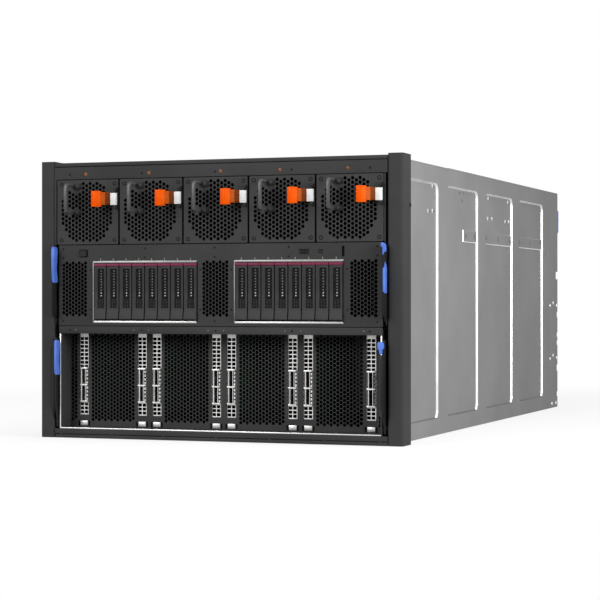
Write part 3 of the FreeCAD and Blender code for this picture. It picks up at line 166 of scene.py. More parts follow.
def turned(work, profile, centre, way="y", sides=16, paint=0):
    """Turn a profile of (radius, along) points round an axis through a centre."""
    rings = []
    for radius, along in profile:
        ring = []
        for step in range(sides if radius else 1):
            angle = 2 * math.pi * step / sides
            point = (radius * math.cos(angle), radius * math.sin(angle), along)
            ring.append(work.verts.new(Vector(centre) + Vector([point[axis] for axis in axis_order[way]])))
        rings.append(ring)
    faces = []
    for first, second in zip(rings, rings[1:]):
        for step in range(sides):
            after = (step + 1) % sides
            corners = [first[step % len(first)], first[after % len(first)],
                       second[after % len(second)], second[step % len(second)]]
            faces.append(work.faces.new(list(dict.fromkeys(corners))))
    for face in faces:
        face.material_index = paint
    bmesh.ops.recalc_face_normals(work, faces=faces)


def shape(name, work, *finishes):
    """Close a workpiece as a mesh in metres, smooth except at its creases."""
    mesh = bpy.data.meshes.new(name)
    work.to_mesh(mesh)
    work.free()
    mesh.transform(Matrix.Scale(0.001, 4))
    mesh.shade_smooth()
    mesh.set_sharp_from_angle(angle=math.radians(32))
    for finish in finishes:
        mesh.materials.append(finish)
    return mesh


def fit(name, mesh, body, replaced=(), shift=0.0, lift=0.0):
    """Put a piece on the CAD body it moves with, shifted sideways and up in millimetres."""
    made = bpy.data.objects.new(name, mesh)
    bpy.context.scene.collection.objects.link(made)
    made.location = (shift / 1000, 0, lift / 1000)
    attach(made, body)
    if replaced:
        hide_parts(*replaced)
    return made


def piece(name, work, finishes, body, slot, *replaced):
    """Close a workpiece that is used once and put it on its body."""
    return fit(name, shape(name, work, *finishes), body, replaced)


wall_low, wall_high = span("right_wall")
wall_out = wall_high[0]
front = span("compute_front_panel")[0][1]
recess_front, recess_pitch, recess_long, recess_deep, recess_slope = 56.0, 201.2, 159.5, 2.7, 1.8
recess_low, recess_high, recess_corner, shaded_slope_height = 21.0, 326.0, 10.0, 24.0
brace_low, brace_high, brace_start, brace_lift, brace_gap = 254.0, 271.0, -113.0, 1.0, 0.6
rear_notches = ((21, 5, 8), (64, 6, 10), (105, 5, 7), (118, 5, 7), (151, 5, 9), (215, 13, 12))
# rivets, holes and the slot are measured from the rear edge of the ear, where the bare wall begins
bare_start = span("rack_ear_right")[1][1]
wall_rivets = ((163, 322), (142, 289), (163, 290), (449, 320), (565.5, 320), (447, 291), (471, 291.6),
               (549, 290.4), (571, 291))
flat_rivets = ((839, 166), (861, 170), (887, 166), (839, 80), (861, 85), (887, 80), (853, 7), (883, 7))
wall_holes = ((298, 320), (319, 320), (310, 310))
wall_slot = rounded(bare_start + 803, bare_start + 807, 245, 252, 1.5)

edge_line = [(wall_low[1], wall_low[2]), (wall_high[1], wall_low[2])]
for height, deep, tall in rear_notches:
    edge_line += [(wall_high[1], height - tall / 2), (wall_high[1] - deep, height - tall / 2),
                  (wall_high[1] - deep, height + tall / 2), (wall_high[1], height + tall / 2)]
edge_line += [(wall_high[1], wall_high[2]), (wall_low[1], wall_high[2])]
recesses = []
for count in range(4):
    start = front + recess_front + count * recess_pitch
    recesses.append((start, start + recess_long))
# insets and depths of the rings down a recess's edge, which is rounded a little at both ends
slope_rings = ((0, 0), (0.4, 0.3), (recess_slope - 0.4, recess_deep - 0.3), (recess_slope, recess_deep))

for side, name in ((-1, "left_wall"), (1, "right_wall")):
    outward = Matrix(((0, 0, side, side * wall_out), (1, 0, 0, 0), (0, 1, 0, 0), (0, 0, 0, 1)))
    sunk = outward @ Matrix.Translation((0, 0, -recess_deep))
    work = bmesh.new()
    openings = [rounded(start, end, recess_low, recess_high, recess_corner) for start, end in recesses]
    stamp(work, punched(edge_line, openings + [wall_slot], 0), outward)
    for start, end in recesses:
        rings = []
        for inset, deep in slope_rings:
            ring = rounded(start + inset, end - inset, recess_low + inset, recess_high - inset,
                           recess_corner - inset)
            rings.append([work.verts.new(outward @ Vector((y, z, -deep))) for y, z in ring])
        for first, second in zip(rings, rings[1:]):
            for corner in range(len(first)):
                after = (corner + 1) % len(first)
                slope = work.faces.new((first[corner], first[after], second[after], second[corner]))
                # the lowest slopes of each recess are painted shade, and all the others a painted highlight
                slope.material_index = 2 if max(first[corner].co.z, first[after].co.z) < shaded_slope_height else 1
        holes = [circle(bare_start + y, z, 2.2, 12) for y, z in wall_holes if start < bare_start + y < end]
        stamp(work, punched(ring, holes, 0), sunk)
    bmesh.ops.remove_doubles(work, verts=work.verts[:], dist=0.01)
    bmesh.ops.recalc_face_normals(work, faces=work.faces[:])
    largest = max(work.faces, key=lambda face: face.calc_area())
    if largest.normal.x * side < 0:
        bmesh.ops.reverse_faces(work, faces=work.faces[:])
    wall = piece(name + "_sheet", work, (zinc, bare_zinc_and_highlight, shaded_zinc), "chassis", "zinc_sheet", name)
    wall.data.shade_flat()
    sheet = wall.modifiers.new("gauge", "SOLIDIFY")
    sheet.thickness = 0.0012
    sheet.offset = -1

    # the brace stands in the three rear recesses, as one flat with slots, over a sheet of painted shade that
    # darkens each slot
    work = bmesh.new()
    for start, end in recesses[1:]:
        begin, stop = max(brace_start, start + brace_gap), end - brace_gap
        foot = [(begin, brace_low), (stop, brace_low), (stop, brace_high), (begin, brace_high)]
        crest = [(begin + brace_lift, brace_low + brace_lift), (stop, brace_low + brace_lift),
                 (stop, brace_high - brace_lift), (begin + brace_lift, brace_high - brace_lift)]
        lower = [work.verts.new(sunk @ Vector((y, z, 0))) for y, z in foot]
        upper = [work.verts.new(sunk @ Vector((y, z, brace_lift))) for y, z in crest]
        for corner in range(4):
            after = (corner + 1) % 4
            slope = work.faces.new((lower[corner], lower[after], upper[after], upper[corner]))
            # the brace's front and lower edges carry a painted highlight
            slope.material_index = 1 if corner in (0, 3) else 0
        slots = []
        for share in (0.06, 0.5, 0.94) if begin > brace_start else (0.2, 0.84):
            middle_y = begin + share * (stop - begin)
            slots.append(rounded(middle_y - 1.3, middle_y + 1.3, 259, 266, 1.2))
        for lift, holes, paint in ((brace_lift, slots, 0), (brace_lift - 1, [], 2)):
            stamp(work, punched(crest, holes, 0), sunk @ Matrix.Translation((0, 0, lift)), paint)
    bmesh.ops.remove_doubles(work, verts=work.verts[:], dist=0.01)
    bmesh.ops.recalc_face_normals(work, faces=work.faces[:])
    # low rivet heads, and behind each one that is in a recess a flat disc of painted shade for a small pilot
    # hole
    recess_floor = side * (wall_out - recess_deep)
    for y, z in wall_rivets:
        turned(work, ((2.6, 0), (2.5, side * 0.5), (1.4, side * 1.1), (0, side * 1.2)),
               (recess_floor, bare_start + y, z), "x", 14, 1)
        turned(work, ((1.9, 0), (1.8, side * 0.15), (0, side * 0.15)),
               (recess_floor, bare_start + y + 6, z), "x", 12, 2)
    for y, z in flat_rivets:
        turned(work, ((2.8, 0), (2.6, side * 0.4), (1.4, side * 0.7), (0, side * 0.7)),
               (side * wall_out, bare_start + y, z), "x", 14, 1)
    piece(name + "_brace", work, (zinc, bare_zinc_and_highlight, painted_shade), "chassis", "zinc_sheet")

# Cover, floor and decks: folded sheets of the same steel, riveted and screwed between the
# walls. The cover's front edge is folded down and coated black with the front, and a second
# lid lies over its rear two thirds.


def dress(node, finish, soft=0.35):
    """Give a CAD part its finish and break its sharp edges."""
    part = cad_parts[node]
    for slot in part.material_slots:
        slot.material = finish
    weld = part.modifiers.new("weld", "WELD")
    weld.merge_threshold = 0.00001
    edge = part.modifiers.new("edge", "BEVEL")
    edge.width = soft / 1000
    edge.segments = 2
    edge.limit_method = "ANGLE"
    edge.angle_limit = math.radians(40)
    part.modifiers.new("shading", "WEIGHTED_NORMAL")


def prism(work, outline, way, low, high, soft=0.0, paint=0):
    """Run an outline along one axis from low to high and break its sharp edges."""
    part = bmesh.new()
    first, last = [[part.verts.new([(*point, end)[axis] for axis in axis_order[way]]) for point in outline]
                   for end in (low, high)]
    part.faces.new(first)
    part.faces.new(list(reversed(last)))
    for corner in range(len(outline)):
        after = (corner + 1) % len(outline)
        part.faces.new((first[corner], last[corner], last[after], first[after]))
    bmesh.ops.recalc_face_normals(part, faces=part.faces[:])
    crease = math.radians(34.4)
    if soft:
        sharp = [edge for edge in part.edges if edge.calc_face_angle(0) > crease]
        bmesh.ops.bevel(part, geom=sharp, offset=soft, segments=2, profile=0.5, affect="EDGES",
                        clamp_overlap=True)
    mesh = bpy.data.meshes.new("part")
    part.to_mesh(mesh)
    part.free()
    stamp(work, mesh, Matrix(), paint)


def block(work, low, high, soft=0.3, paint=0):
    """A bar or plate between two corners with its edges broken."""
    outline = [(low[0], low[1]), (high[0], low[1]), (high[0], high[1]), (low[0], high[1])]
    prism(work, outline, "z", low[2], high[2], soft, paint)


# Polyester powder coat: nearly black, with an orange-peel grain drawn at 3 mm so that it shows.
black_coat = surface("black_powder_coat", "#383838", "#3f3f3f", 140, 3, 0.05, 0.6, sheen=0.02)
# Bright-drawn steel of screws, plates and rims: pale, with fine brushing along its length.
bright_steel = surface("bright_steel", "#8c8c8c", "#a4a4a2", 30, 2.2, 0.02, 0.34, (0.25, 1, 1), Metallic=0.85)
dress("chassis_base", zinc)
dress("bay_decks", black_coat)
cover_low, cover_high = span("top_cover")
lip_low, cover_top, lid_start, lid_rise = cover_low[2], cover_high[2], -190.0, 0.8
cover_under = cover_top - 2
lip_half = span("front_trim")[1][0]
rib_middle, rib_half, rivet_line = 128, 11, 216
work = bmesh.new()
block(work, (cover_low[0], wall_low[1], cover_under), (cover_high[0], cover_high[1], cover_top))
fold = [(front, lip_low), (front + 2, lip_low), (front + 2, cover_under), (wall_low[1], cover_under),
        (wall_low[1], cover_top), (front + 1.4, cover_top), (front + 0.4, cover_top - 0.4),
        (front, cover_top - 1.4)]
prism(work, fold, "x", -lip_half, lip_half, 0.15, 3)
block(work, (-wall_out + 0.4, lid_start, cover_top - 0.2),
      (wall_out - 0.4, cover_high[1] - 0.5, cover_top + lid_rise), 0.4)
# thumb plate of the lid, a near-black block on it painted as the shade of its recess, and its flat screws
block(work, (-34, -176, cover_top + 0.7), (34, -146, cover_top + 1.3), 0.5, 1)
block(work, (-26, -170, cover_top + 1.1), (26, -156, cover_top + 1.7), 0.5, 2)
for x in (-205, -70, 70, 205):
    for y in (-420, -215, 120, 455):
        under = cover_top + (lid_rise if y > lid_start else 0)
        turned(work, ((3.6, 0), (3.4, 0.5), (1.8, 0.7), (0, 0.3)), (x, y, under), "z", 16, 1)
# two pressed ribs stiffen the lid, and low rivets hold the cover's edges
for side in (-1, 1):
    rib = rounded(side * rib_middle - rib_half, side * rib_middle + rib_half, -110, 420, 10.5, 6)
    prism(work, rib, "z", cover_top + 0.5, cover_top + 1.9, 0.9)
    for y in range(-400, 441, 60):
        under = cover_top + (lid_rise if y > lid_start else 0)
        turned(work, ((2.4, -0.2), (2.3, 0.3), (1.3, 0.6), (0, 0.6)), (side * rivet_line, y, under), "z", 12)
piece("cover_sheet", work, (zinc, bright_steel, painted_shade, black_coat), "chassis", "zinc_sheet", "top_cover")

# Front trim and rack ears: folded steel with the black coat. The strip above the fans carries
# a small amber lamp for each fan, and the sill below has a slotted air gap.

# Black oxide on steel: blacker than the coat round it, with little gloss.
black_screw = surface("black_oxide_steel", "#070707", "#0c0c0c", 8, 1.5, 0.03, 0.5, sheen=0.1)
# Amber polycarbonate lens over a lamp that is barely lit.
amber = surface("amber_polycarbonate", "#643c24", "#7c4a2a", 5, 1.5, 0.02, 0.3, sheen=0.2)

for node in ("front_trim", "rack_ear_left", "rack_ear_right"):
    dress(node, black_coat, 0.7)


def screw(work, x, z, radius, paint=1):
    """A small flat-headed screw in the front, with the rim of its socket."""
    profile = ((radius, 0.1), (radius, -0.25), (radius * 0.85, -0.45), (radius * 0.5, -0.5),
               (radius * 0.4, -0.2), (0, -0.15))
    turned(work, profile, (x, front, z), "y", 12, paint)


def middle_of(node):
    """How far a CAD node's middle stands from the middle of the case."""
    low, high = span(node)
    return (low[0] + high[0]) / 2


fan_middles = [middle_of(f"fan_{count}_housing") for count in range(1, 6)]
strip_middle, lamp_shift, third_lamp_shift = 333.8, -2.3, 6.9
bridge_pitch = 70.8
work = bmesh.new()
for x in (-200, -100, -0.6, 100, 200):
    screw(work, x, strip_middle, 1.3)
# a plain plug fills the hole to the left of the third lamp
turned(work, ((2.5, 0.4), (2.5, -0.05), (2.2, -0.15), (0, -0.15)),
       (fan_middles[2] + lamp_shift, front, strip_middle), "y", 20)
# small bridges across the air gap in the sill, and the rivet on the side of the right ear
for count in range(7):
    x = (count - 3) * bridge_pitch
    block(work, (x - 1.6, front + 0.1, 3.3), (x + 1.6, front + 2, 5.4), 0.2)
turned(work, ((2.6, 0), (2.5, 0.8), (1.4, 1.2), (0, 1.2)), (241.2, -428.4, 290), "x", 14, 1)
# the left ear's return flange closes the gap beside the first fan
fan_floor = span("fan_1_housing")[0][2]
block(work, (-222.2, front + 0.3, fan_floor), (-219.5, front + 1.8, lip_low - 0.9), 0.2)
# a thin dark strip, painted shade, stands for a pressed groove that follows the lower end of the left lever,
# down to the corner of the sill
ear_face = span("rack_ear_left")[0][1]
groove = [(-227.2, 116), (-226.4, 116), (-226.4, 39), (-221.4, 24), (-222.2, 24), (-227.2, 39)]
prism(work, groove, "y", ear_face - 0.12, ear_face + 0.2, 0, 1)
piece("front_trim_details", work, (black_coat, black_screw), "chassis", "front_paint")
work = bmesh.new()
for count, x in enumerate(fan_middles, 1):
    turned(work, ((2.3, 0.5), (2.3, -0.1), (1.8, -0.4), (0.9, -0.6), (0, -0.65)),
           (x + (third_lamp_shift if count == 3 else lamp_shift), front, strip_middle))
piece("fan_lamps", work, (amber,), "chassis", "front_paint")

# Fan modules: a moulded frame behind a punched steel face with a honeycomb, a pull handle
# held by two feet, and corner screws. All five are alike and slide out of the front.


def hexagon(x, z, flats):
    """A hexagon of a given width between its flat top and bottom."""
    return circle(x, z, flats / math.sqrt(3), 6)


def plate(work, outline, holes, start, gauge, paint=0):
    """A punched sheet that stands across the case with its front face at a depth."""
    stand = Matrix.Translation((0, start + gauge / 2, 0)) @ Matrix.Rotation(math.radians(90), 4, "X")
    stamp(work, punched(outline, holes, gauge), stand, paint)


def swung(outline, degrees, lift=0):
    """An outline turned about the origin, then raised."""
    turn = math.radians(degrees)
    return [(x * math.cos(turn) - z * math.sin(turn), lift + x * math.sin(turn) + z * math.cos(turn))
            for x, z in outline]


# Glass-filled nylon of the frames and of the rear wheels: black, slightly rough from the mould.
black_nylon = surface("black_nylon", "#0f0f0f", "#161616", 30, 2.5, 0.05, 0.6, sheen=0.2)
# The handle's moulded cover is worn smooth and shines more than the coat.
satin_grip = surface("satin_nylon", "#424242", "#4c4c4c", 15, 2, 0.02, 0.36, sheen=0.3)
fan_low, fan_high = span("fan_3_housing")
fan_half = (fan_high[0] - fan_low[0]) / 2
fan_back, fan_bottom, fan_top = fan_high[1], fan_low[2], fan_high[2]
fan_centre, duct_radius, corner_inset = (fan_bottom + fan_top) / 2, 39.6, 5.5
hole_pitch, hole_flats, hole_left, hole_middle, field_radius = 5.5, 4.3, -1.3, 286.4, 38.8
face_gauge, face_rim = 1.4, 12
handle_x, handle_top, handle_bottom, handle_front = -20.6, 322.0, 283.4, fan_low[1]

# the honeycomb leaves out the corners of its round field and the places of the handle's feet
holes = []
for column in range(-7, 8):
    for row in range(-8, 9):
        x = hole_left + column * hole_pitch * math.sqrt(3) / 2
        up = (row + 0.5 * (column % 2)) * hole_pitch
        z = hole_middle + up
        at_top_foot = math.hypot(x - handle_x - 4, z - 317.5) < 9.5
        at_low_foot = abs(x - handle_x - 2.7) < 8.2 and abs(up) < 4
        at_side = abs(column) == 7 and abs(up) > 15
        in_field = math.hypot(x - hole_left, up) < field_radius and abs(up) < 38
        if in_field and not (at_top_foot or at_low_foot or at_side):
            holes.append(hexagon(x, z, hole_flats))
work = bmesh.new()
face_line = rounded(-fan_half + 0.4, fan_half - 0.4, fan_bottom + 0.3, fan_top - 0.3, 1.2, 2)
plate(work, face_line, holes, front, face_gauge)
# folded rim of the face, then the moulded frame: flanges, the round duct and four posts, each with
# a screw and its washer before it
rim_hole = rounded(-fan_half + 1.6, fan_half - 1.6, fan_bottom + 1.5, fan_top - 1.5, 1, 2)
plate(work, face_line, [rim_hole], front + face_gauge, face_rim)
flange = rounded(-fan_half + 0.3, fan_half - 0.3, fan_bottom + 0.3, fan_top - 0.3, 5)
for start, gauge in ((front + 14, 7), (front + 56, 5), (fan_back - 8, 8)):
    plate(work, flange, [circle(0, fan_centre, duct_radius, 48)], start, gauge, 1)
turned(work, ((40.6, 14), (40.6, 88), (39.5, 88), (39.5, 14), (40.6, 14)), (0, front, fan_centre), "y", 48, 1)
for x in (-37, 37):
    for z in (fan_bottom + corner_inset, fan_top - corner_inset):
        turned(work, ((0, 14), (3.4, 14), (3.4, 90), (0, 90)), (x, front, z), "y", 12, 1)
        turned(work, ((2.8, 0.1), (2.7, -0.12), (1.8, -0.12), (1.7, 0.1)), (x + 0.5, front, z), "y", 18, 2)
        screw(work, x + 0.5, z, 1.2, 0)
# motor mount with its four arms at the back of the frame
turned(work, ((0, -8), (17, -8), (18, -6.5), (18, -1.5), (0, -1.5)), (0, fan_back, fan_centre), "y", 28, 1)
for degrees in (35, 125, 215, 305):
    arm = swung([(16, -2), (40, -3), (40, 3), (16, 2)], degrees, fan_centre)
    prism(work, arm, "y", fan_back - 7, fan_back - 2, 0.4, 1)
# the handle is a flat bar bent to a U, with black moulded feet and their screws
bar = 3.4
bow = [(front, 0), (handle_front + 6, 0), (handle_front + 1.8, 1.8), (handle_front, 6)]
hollow = [(front, bar), (handle_front + 6.6, bar), (handle_front + 4.4, bar + 1), (handle_front + bar, 7.4)]
handle_line = [(y, handle_bottom + z) for y, z in bow] + [(y, handle_top - z) for y, z in reversed(bow)]
handle_line += [(y, handle_top - z) for y, z in hollow]
handle_line += [(y, handle_bottom + z) for y, z in reversed(hollow)]
prism(work, handle_line, "x", handle_x - 2.2, handle_x + 2.2, 0.9, 3)
for foot_low in (handle_top - 7.2, handle_bottom - 1.0):
    block(work, (handle_x + 1.6, front - 1.6, foot_low), (handle_x + 11.6, front, foot_low + 7.6), 0.9, 1)
    turned(work, ((2.2, 0), (2.1, -0.6), (1.5, -0.9), (0, -0.9)),
           (handle_x + 6.8, front - 1.5, foot_low + 3.8), "y", 14)
# hinge lugs and pin of the latch, and the blind-mate plug at the back
latch_low, latch_high = span("fan_3_latch")
leaf_low, leaf_high = 294.3, 311.3
pin_x, pin_y, pin_radius, pin_over = fan_half - 2.6, front - 2.2, 0.95, 4.5
lug, lug_tall, lug_gap = 2.2, 4.4, 0.4
for low in (leaf_low - lug_gap - lug_tall, leaf_high + lug_gap):
    block(work, (pin_x - lug, pin_y - lug, low), (pin_x + lug, front, low + lug_tall), 0.7, 1)
pin = ((0, leaf_low - pin_over), (pin_radius, leaf_low - pin_over), (pin_radius, leaf_high + pin_over),
       (0, leaf_high + pin_over))
turned(work, pin, (pin_x, pin_y, 0), "z", 10, 2)
block(work, (-14, fan_back - 3, fan_bottom + 2), (14, fan_back, fan_bottom + 8.5), 0.5, 1)
fan_mesh = shape("fan_module", work, black_coat, black_nylon, black_screw, satin_grip)
for count, x in enumerate(fan_middles, 1):
    fit(f"fan_{count}_module", fan_mesh, f"fan_{count}", (f"fan_{count}_housing",), x)
    # the front fans' wheels are painted shade, darker than their nylon, for the dark inside the housing
    dress(f"fan_{count}_rotor", painted_shade, 0.5)

# Fan latches: a sprung lever moulded in orange ABS. Its flat grip faces the front, the arm
# slopes back past it, and a white end turns on the pin at the edge of the module.

# ABS straight from the mould: saturated orange with a soft gloss. The arm gets two darker copies of it,
# painted shade that deepens along the arm.
orange = surface("orange_abs", "#e05000", "#ea5a00", 20, 2, 0.02, 0.4, sheen=0.05)
half_shade_orange = surface("textured_orange_abs", "#b04c08", "#be560e", 10, 2, 0.03, 0.55, sheen=0.1)
deep_shade_orange = surface("shaded_orange_abs", "#5e2806", "#74340a", 10, 2, 0.03, 0.6, sheen=0.1)
# PBT of the end: plain white with a soft gloss.
white_plastic = surface("white_pbt", "#d6d6d6", "#e0e0e0", 20, 2, 0.02, 0.4, sheen=0.2)
grip_y, grip_left, grip_right, arm_left, arm_middle, arm_right = latch_low[1], 13.6, 20.6, 24.4, 29.0, 34.2
work = bmesh.new()
grip = [(grip_left, grip_y), (grip_right - 0.6, grip_y), (grip_right, grip_y + 0.3), (24.8, grip_y + 4.2),
        (24.8, grip_y + 6.4), (grip_right - 0.4, grip_y + 2.8), (grip_left, grip_y + 2.8)]
prism(work, grip, "z", latch_low[2] + 0.2, latch_high[2] - 2.2, 0.4)
# the arm in two lengths, painted in shade that deepens towards the white end
arm = [(arm_left, grip_y + 4.4), (arm_middle, grip_y + 8.6), (arm_middle, grip_y + 11),
       (arm_left, grip_y + 6.8)]
prism(work, arm, "z", leaf_low, leaf_high - 1, 0.3, 3)
arm = [(arm_middle - 0.2, grip_y + 8.6), (arm_right, grip_y + 13.6), (arm_right, grip_y + 15.6),
       (arm_middle - 0.2, grip_y + 11)]
prism(work, arm, "z", leaf_low + 0.3, leaf_high - 1.3, 0.3, 1)
leaf = [(arm_right - 0.4, grip_y + 13.2), (40.2, grip_y + 13.2), (41.6, grip_y + 14.2), (41.6, grip_y + 16),
        (arm_right - 0.4, grip_y + 16)]
prism(work, leaf, "z", leaf_low, leaf_high - 1.8, 0.4, 2)
barrel = ((1.05, leaf_low + 0.2), (1.75, leaf_low + 0.2), (1.75, leaf_high - 1.8), (1.05, leaf_high - 1.8),
          (1.05, leaf_low + 0.2))
turned(work, barrel, (pin_x, pin_y, 0), "z", 18, 2)
# three ribs for the finger
for count in range(3):
    z = latch_low[2] + 7 + 4 * count
    block(work, (grip_left + 1.2, grip_y - 0.2, z - 0.4), (grip_right - 1, grip_y + 0.3, z + 0.4), 0.2)
latch_mesh = shape("fan_latch", work, orange, deep_shade_orange, white_plastic, half_shade_orange)
for count, x in enumerate(fan_middles, 1):
    catch = f"fan_{count}_catch"
    fit(f"{catch}_lever", latch_mesh, catch, (f"fan_{count}_latch",), x)

# Compute tray: a black steel face with two drive bays, three honeycomb vents, a power button,
# two small sockets and a thumb slot. It is folded back at its edges and screwed to a black pan.


def mirrored(side, inner, outer):
    """The two ends of a piece that lies between two distances from the middle, lower end first."""
    return sorted((side * inner, side * outer))


# Silk-screened ink of the tick marks: pale grey and flat.
ink = surface("grey_ink", "#7a7a7a", "#868686", 10, 2, 0.01, 0.6)
dress("compute_pan", black_coat, 0.4)
dress("power_button", black_nylon, 0.6)
panel_low, panel_high = span("compute_front_panel")
panel_half, panel_back = panel_high[0], panel_high[1]
panel_gauge, panel_fold = panel_back - front, 1.2
button_low, button_high = span("power_button")
button_x, button_z = (button_low[0] + button_high[0]) / 2, (button_low[2] + button_high[2]) / 2
rim_low, rim_high = span("drive_cages")
bay_outer, bay_inner, bay_low, bay_top = rim_high[0] - 0.4, 24.2, 149.0, 221.9
vent_pitch, vent_flats, vent_middle = 5.02, 4.3, 189.0
tick_low, tick_high, tick_half = 224.6, 227.2, 0.45
drive_middles = [middle_of(f"drive_{count:02d}") for count in range(1, 17)]
# middles and half sizes of the two sockets and the thumb slot, which lie level with the button
sockets = ((115.6, 6.6, 3.2), (137.1, 2.9, 2.5), (165.9, 1.8, 6.4))

windows = [rounded(*mirrored(side, bay_inner, bay_outer), bay_low, bay_top, 0.8, 2) for side in (-1, 1)]
for start in (-209, -16.1, 176.9):
    for column in range(8):
        rows = 14 if column % 2 else 13
        for row in range(rows):
            windows.append(hexagon(start + column * vent_pitch * math.sqrt(3) / 2,
                                   vent_middle + (row - (rows - 1) / 2) * vent_pitch, vent_flats))
button_line = rounded(button_x - 5.2, button_x + 5.2, button_z - 4.2, button_z + 4.2, 1.4)
windows.append(button_line)
for x, wide, tall in sockets:
    windows.append(rounded(x - wide, x + wide, button_z - tall, button_z + tall, 1))
work = bmesh.new()
face_line = rounded(-panel_half, panel_half, panel_low[2], panel_high[2], 1, 2)
plate(work, face_line, windows, front, panel_gauge)
for low in (panel_low[2], panel_high[2] - panel_fold):
    block(work, (-panel_half + 0.6, front + 1, low), (panel_half - 0.6, front + 10, low + panel_fold))
for x in (-209.3, -96, -1.5, 96, 209.3):
    for z in (239.6, 228.3) if abs(x) == 96 else (239.6, 228.3, 148.6):
        screw(work, x, z, 1.1)
for x in (-171.1, -20.8, 20.8, 171.1):
    for z in (212.6, 163.0):
        screw(work, x, z, 1.0)
# tick marks that point to the drives, and the bezel of the button
for x in drive_middles:
    block(work, (x - tick_half, front - 0.12, tick_low), (x + tick_half, front + 0.2, tick_high), 0, 2)
bezel = rounded(button_x - 6, button_x + 6, button_z - 5, button_z + 5, 1.8)
plate(work, bezel, [button_line], front - 0.4, 0.6, 1)
# painted shade behind the sockets, the frames round their mouths and their contact tongues
for x, wide, tall in sockets:
    block(work, (x - wide - 1.2, panel_back, button_z - tall - 1.2),
          (x + wide + 1.2, front + 10, button_z + tall + 1.2), 0.3, 3)
for x, wide, tall in sockets[:2]:
    mouth = rounded(x - wide + 1.7, x + wide - 1.7, button_z - tall + 1.5, button_z + tall - 1.5, 0.4, 2)
    body = rounded(x - wide + 0.8, x + wide - 0.8, button_z - tall + 0.8, button_z + tall - 0.8, 0.6, 2)
    plate(work, body, [mouth], front + 0.4, 1)
    block(work, (x - wide + 2, front + 0.6, button_z - 0.5),
          (x + wide - 2, front + 2.2, button_z + 0.4), 0.15)
piece("compute_face", work, (black_coat, black_screw, ink, painted_shade), "compute_tray", "front_paint",
      "compute_front_panel", "compute_vents")

# Drive bays: black sleeves whose folded rim of bright steel stands proud of the black face
# along the top, the left edge and the sloping lip at the bottom.

rim_front, sleeve_back = rim_low[1], rim_high[1]
low, high = rim_low[2], rim_high[2] - 0.5
work = bmesh.new()
for side in (-1, 1):
    left, right = mirrored(side, bay_inner + 0.4, rim_high[0])
    top_bar = [(left, high), (right, high), (right - 1.6, high - 2.4), (left + 1.4, high - 2.4)]
    left_bar = [(left, low), (left + 0.9, low + 2.6), (left + 0.9, high - 1.9), (left, high)]
    low_bar = [(left, low), (right, low), (right - 1.8, low + 2.6), (left + 1.8, low + 2.6)]
    for line in (top_bar, left_bar, low_bar):
        prism(work, line, "y", rim_front, front + 0.2, 0.25)
    for x in (left + 1.2, right - 1.2):
        block(work, (x - 0.4, front, bay_low), (x + 0.4, sleeve_back, bay_top), 0.1, 1)
    for z in (bay_low + 0.4, bay_top - 0.4):
        block(work, (left + 1, front, z - 0.4), (right - 1, sleeve_back, z + 0.4), 0.1, 1)
piece("drive_bays", work, (bright_steel, black_coat), "compute_tray", "bright_steel", "drive_cages")

# Drives: a dark moulded carrier with a red release tab at the top, a slot in front of a
# perforated strip, two light pipes in the strip and a plain lever that leans forward below.

# PC-ABS with a fine spark-eroded texture, as dark as the coat round it; the tab is moulded in red.
carrier_grey = surface("carrier_pc_abs", "#383838", "#404040", 25, 2, 0.04, 0.6, sheen=0.02)
maroon = surface("maroon_pc_abs", "#6c243c", "#7a3046", 12, 2, 0.03, 0.45, sheen=0.2)
# Etched steel of the strip shows as dull dots, and clear acrylic light pipes as brighter ones.
dull_steel = surface("dull_steel", "#505050", "#5e5e5e", 6, 1.5, 0.02, 0.5, Metallic=0.5)
pipe = surface("light_pipe_pmma", "#8e8e8e", "#a8a8a8", 4, 1.5, 0.01, 0.3, IOR=1.49)
# Painted shade: a dark block behind the drive's slot stands in for the dark inside it, a little lighter than
# an open hole.
slot_shade = surface("woven_filter", "#181818", "#242424", 3, 1.5, 0.05, 0.7, sheen=0.02)
drive_low, drive_high = span("drive_01")
half = (drive_high[0] - drive_low[0]) / 2
bottom, top, back = drive_low[2], drive_high[2], drive_high[1]
face, seam, lean, side_gap, face_gauge = front - 2, 163.6, front - 4.2, 0.4, 1.2
slot_left, slot_right, slot_low, slot_high, lattice_top = -3.5, 5.8, 164.9, 214.2, 175.0
dot_x, dot_top, dot_pitch, wire = 1.3, 211.5, 3.475, 0.35
work = bmesh.new()
carrier_line = rounded(-half + side_gap, half - side_gap, seam, top - 3.4, 0.4, 2)
plate(work, carrier_line, [rounded(slot_left, slot_right, slot_low, slot_high, 0.8, 2)], face, face_gauge)
# a dark block behind the face paints the shade inside the slot
block(work, (-half + side_gap, face + face_gauge, bottom + 2), (half - side_gap, face + 8, top - 0.4), 0.3, 6)
# the lattice at the foot of the slot, then the dots above it, of which the last two are light pipes
for z in (168.2, 171.6, lattice_top):
    block(work, (slot_left - 0.1, face + 0.5, z - wire), (slot_right + 0.1, face + 1.3, z + wire), 0)
for x in (-0.6, 2.8):
    block(work, (x - wire, face + 0.5, slot_low - 0.1), (x + wire, face + 1.3, lattice_top), 0)
for count in range(10):
    turned(work, ((1.0, 0.6), (1.0, 0), (0.6, -0.4), (0, -0.5)),
           (dot_x, face + 1.0, dot_top - dot_pitch * count), "y", 10, 5 if count < 8 else 3)
# the lever leans forward towards its lower end, and the tab stands proud at the top
lever_line = [(face, seam), (lean, bottom + 1), (lean + 0.8, bottom), (face + 6, bottom), (face + 6, seam)]
prism(work, lever_line, "x", -half + side_gap, half - side_gap, 0.4)
tab_line = [(face - 0.8, top - 3.2), (face - 0.8, top - 0.6), (face - 0.2, top), (face + 7, top),
            (face + 7, top - 3.2)]
prism(work, tab_line, "x", -half + 0.1, half - 0.1, 0.3, 1)
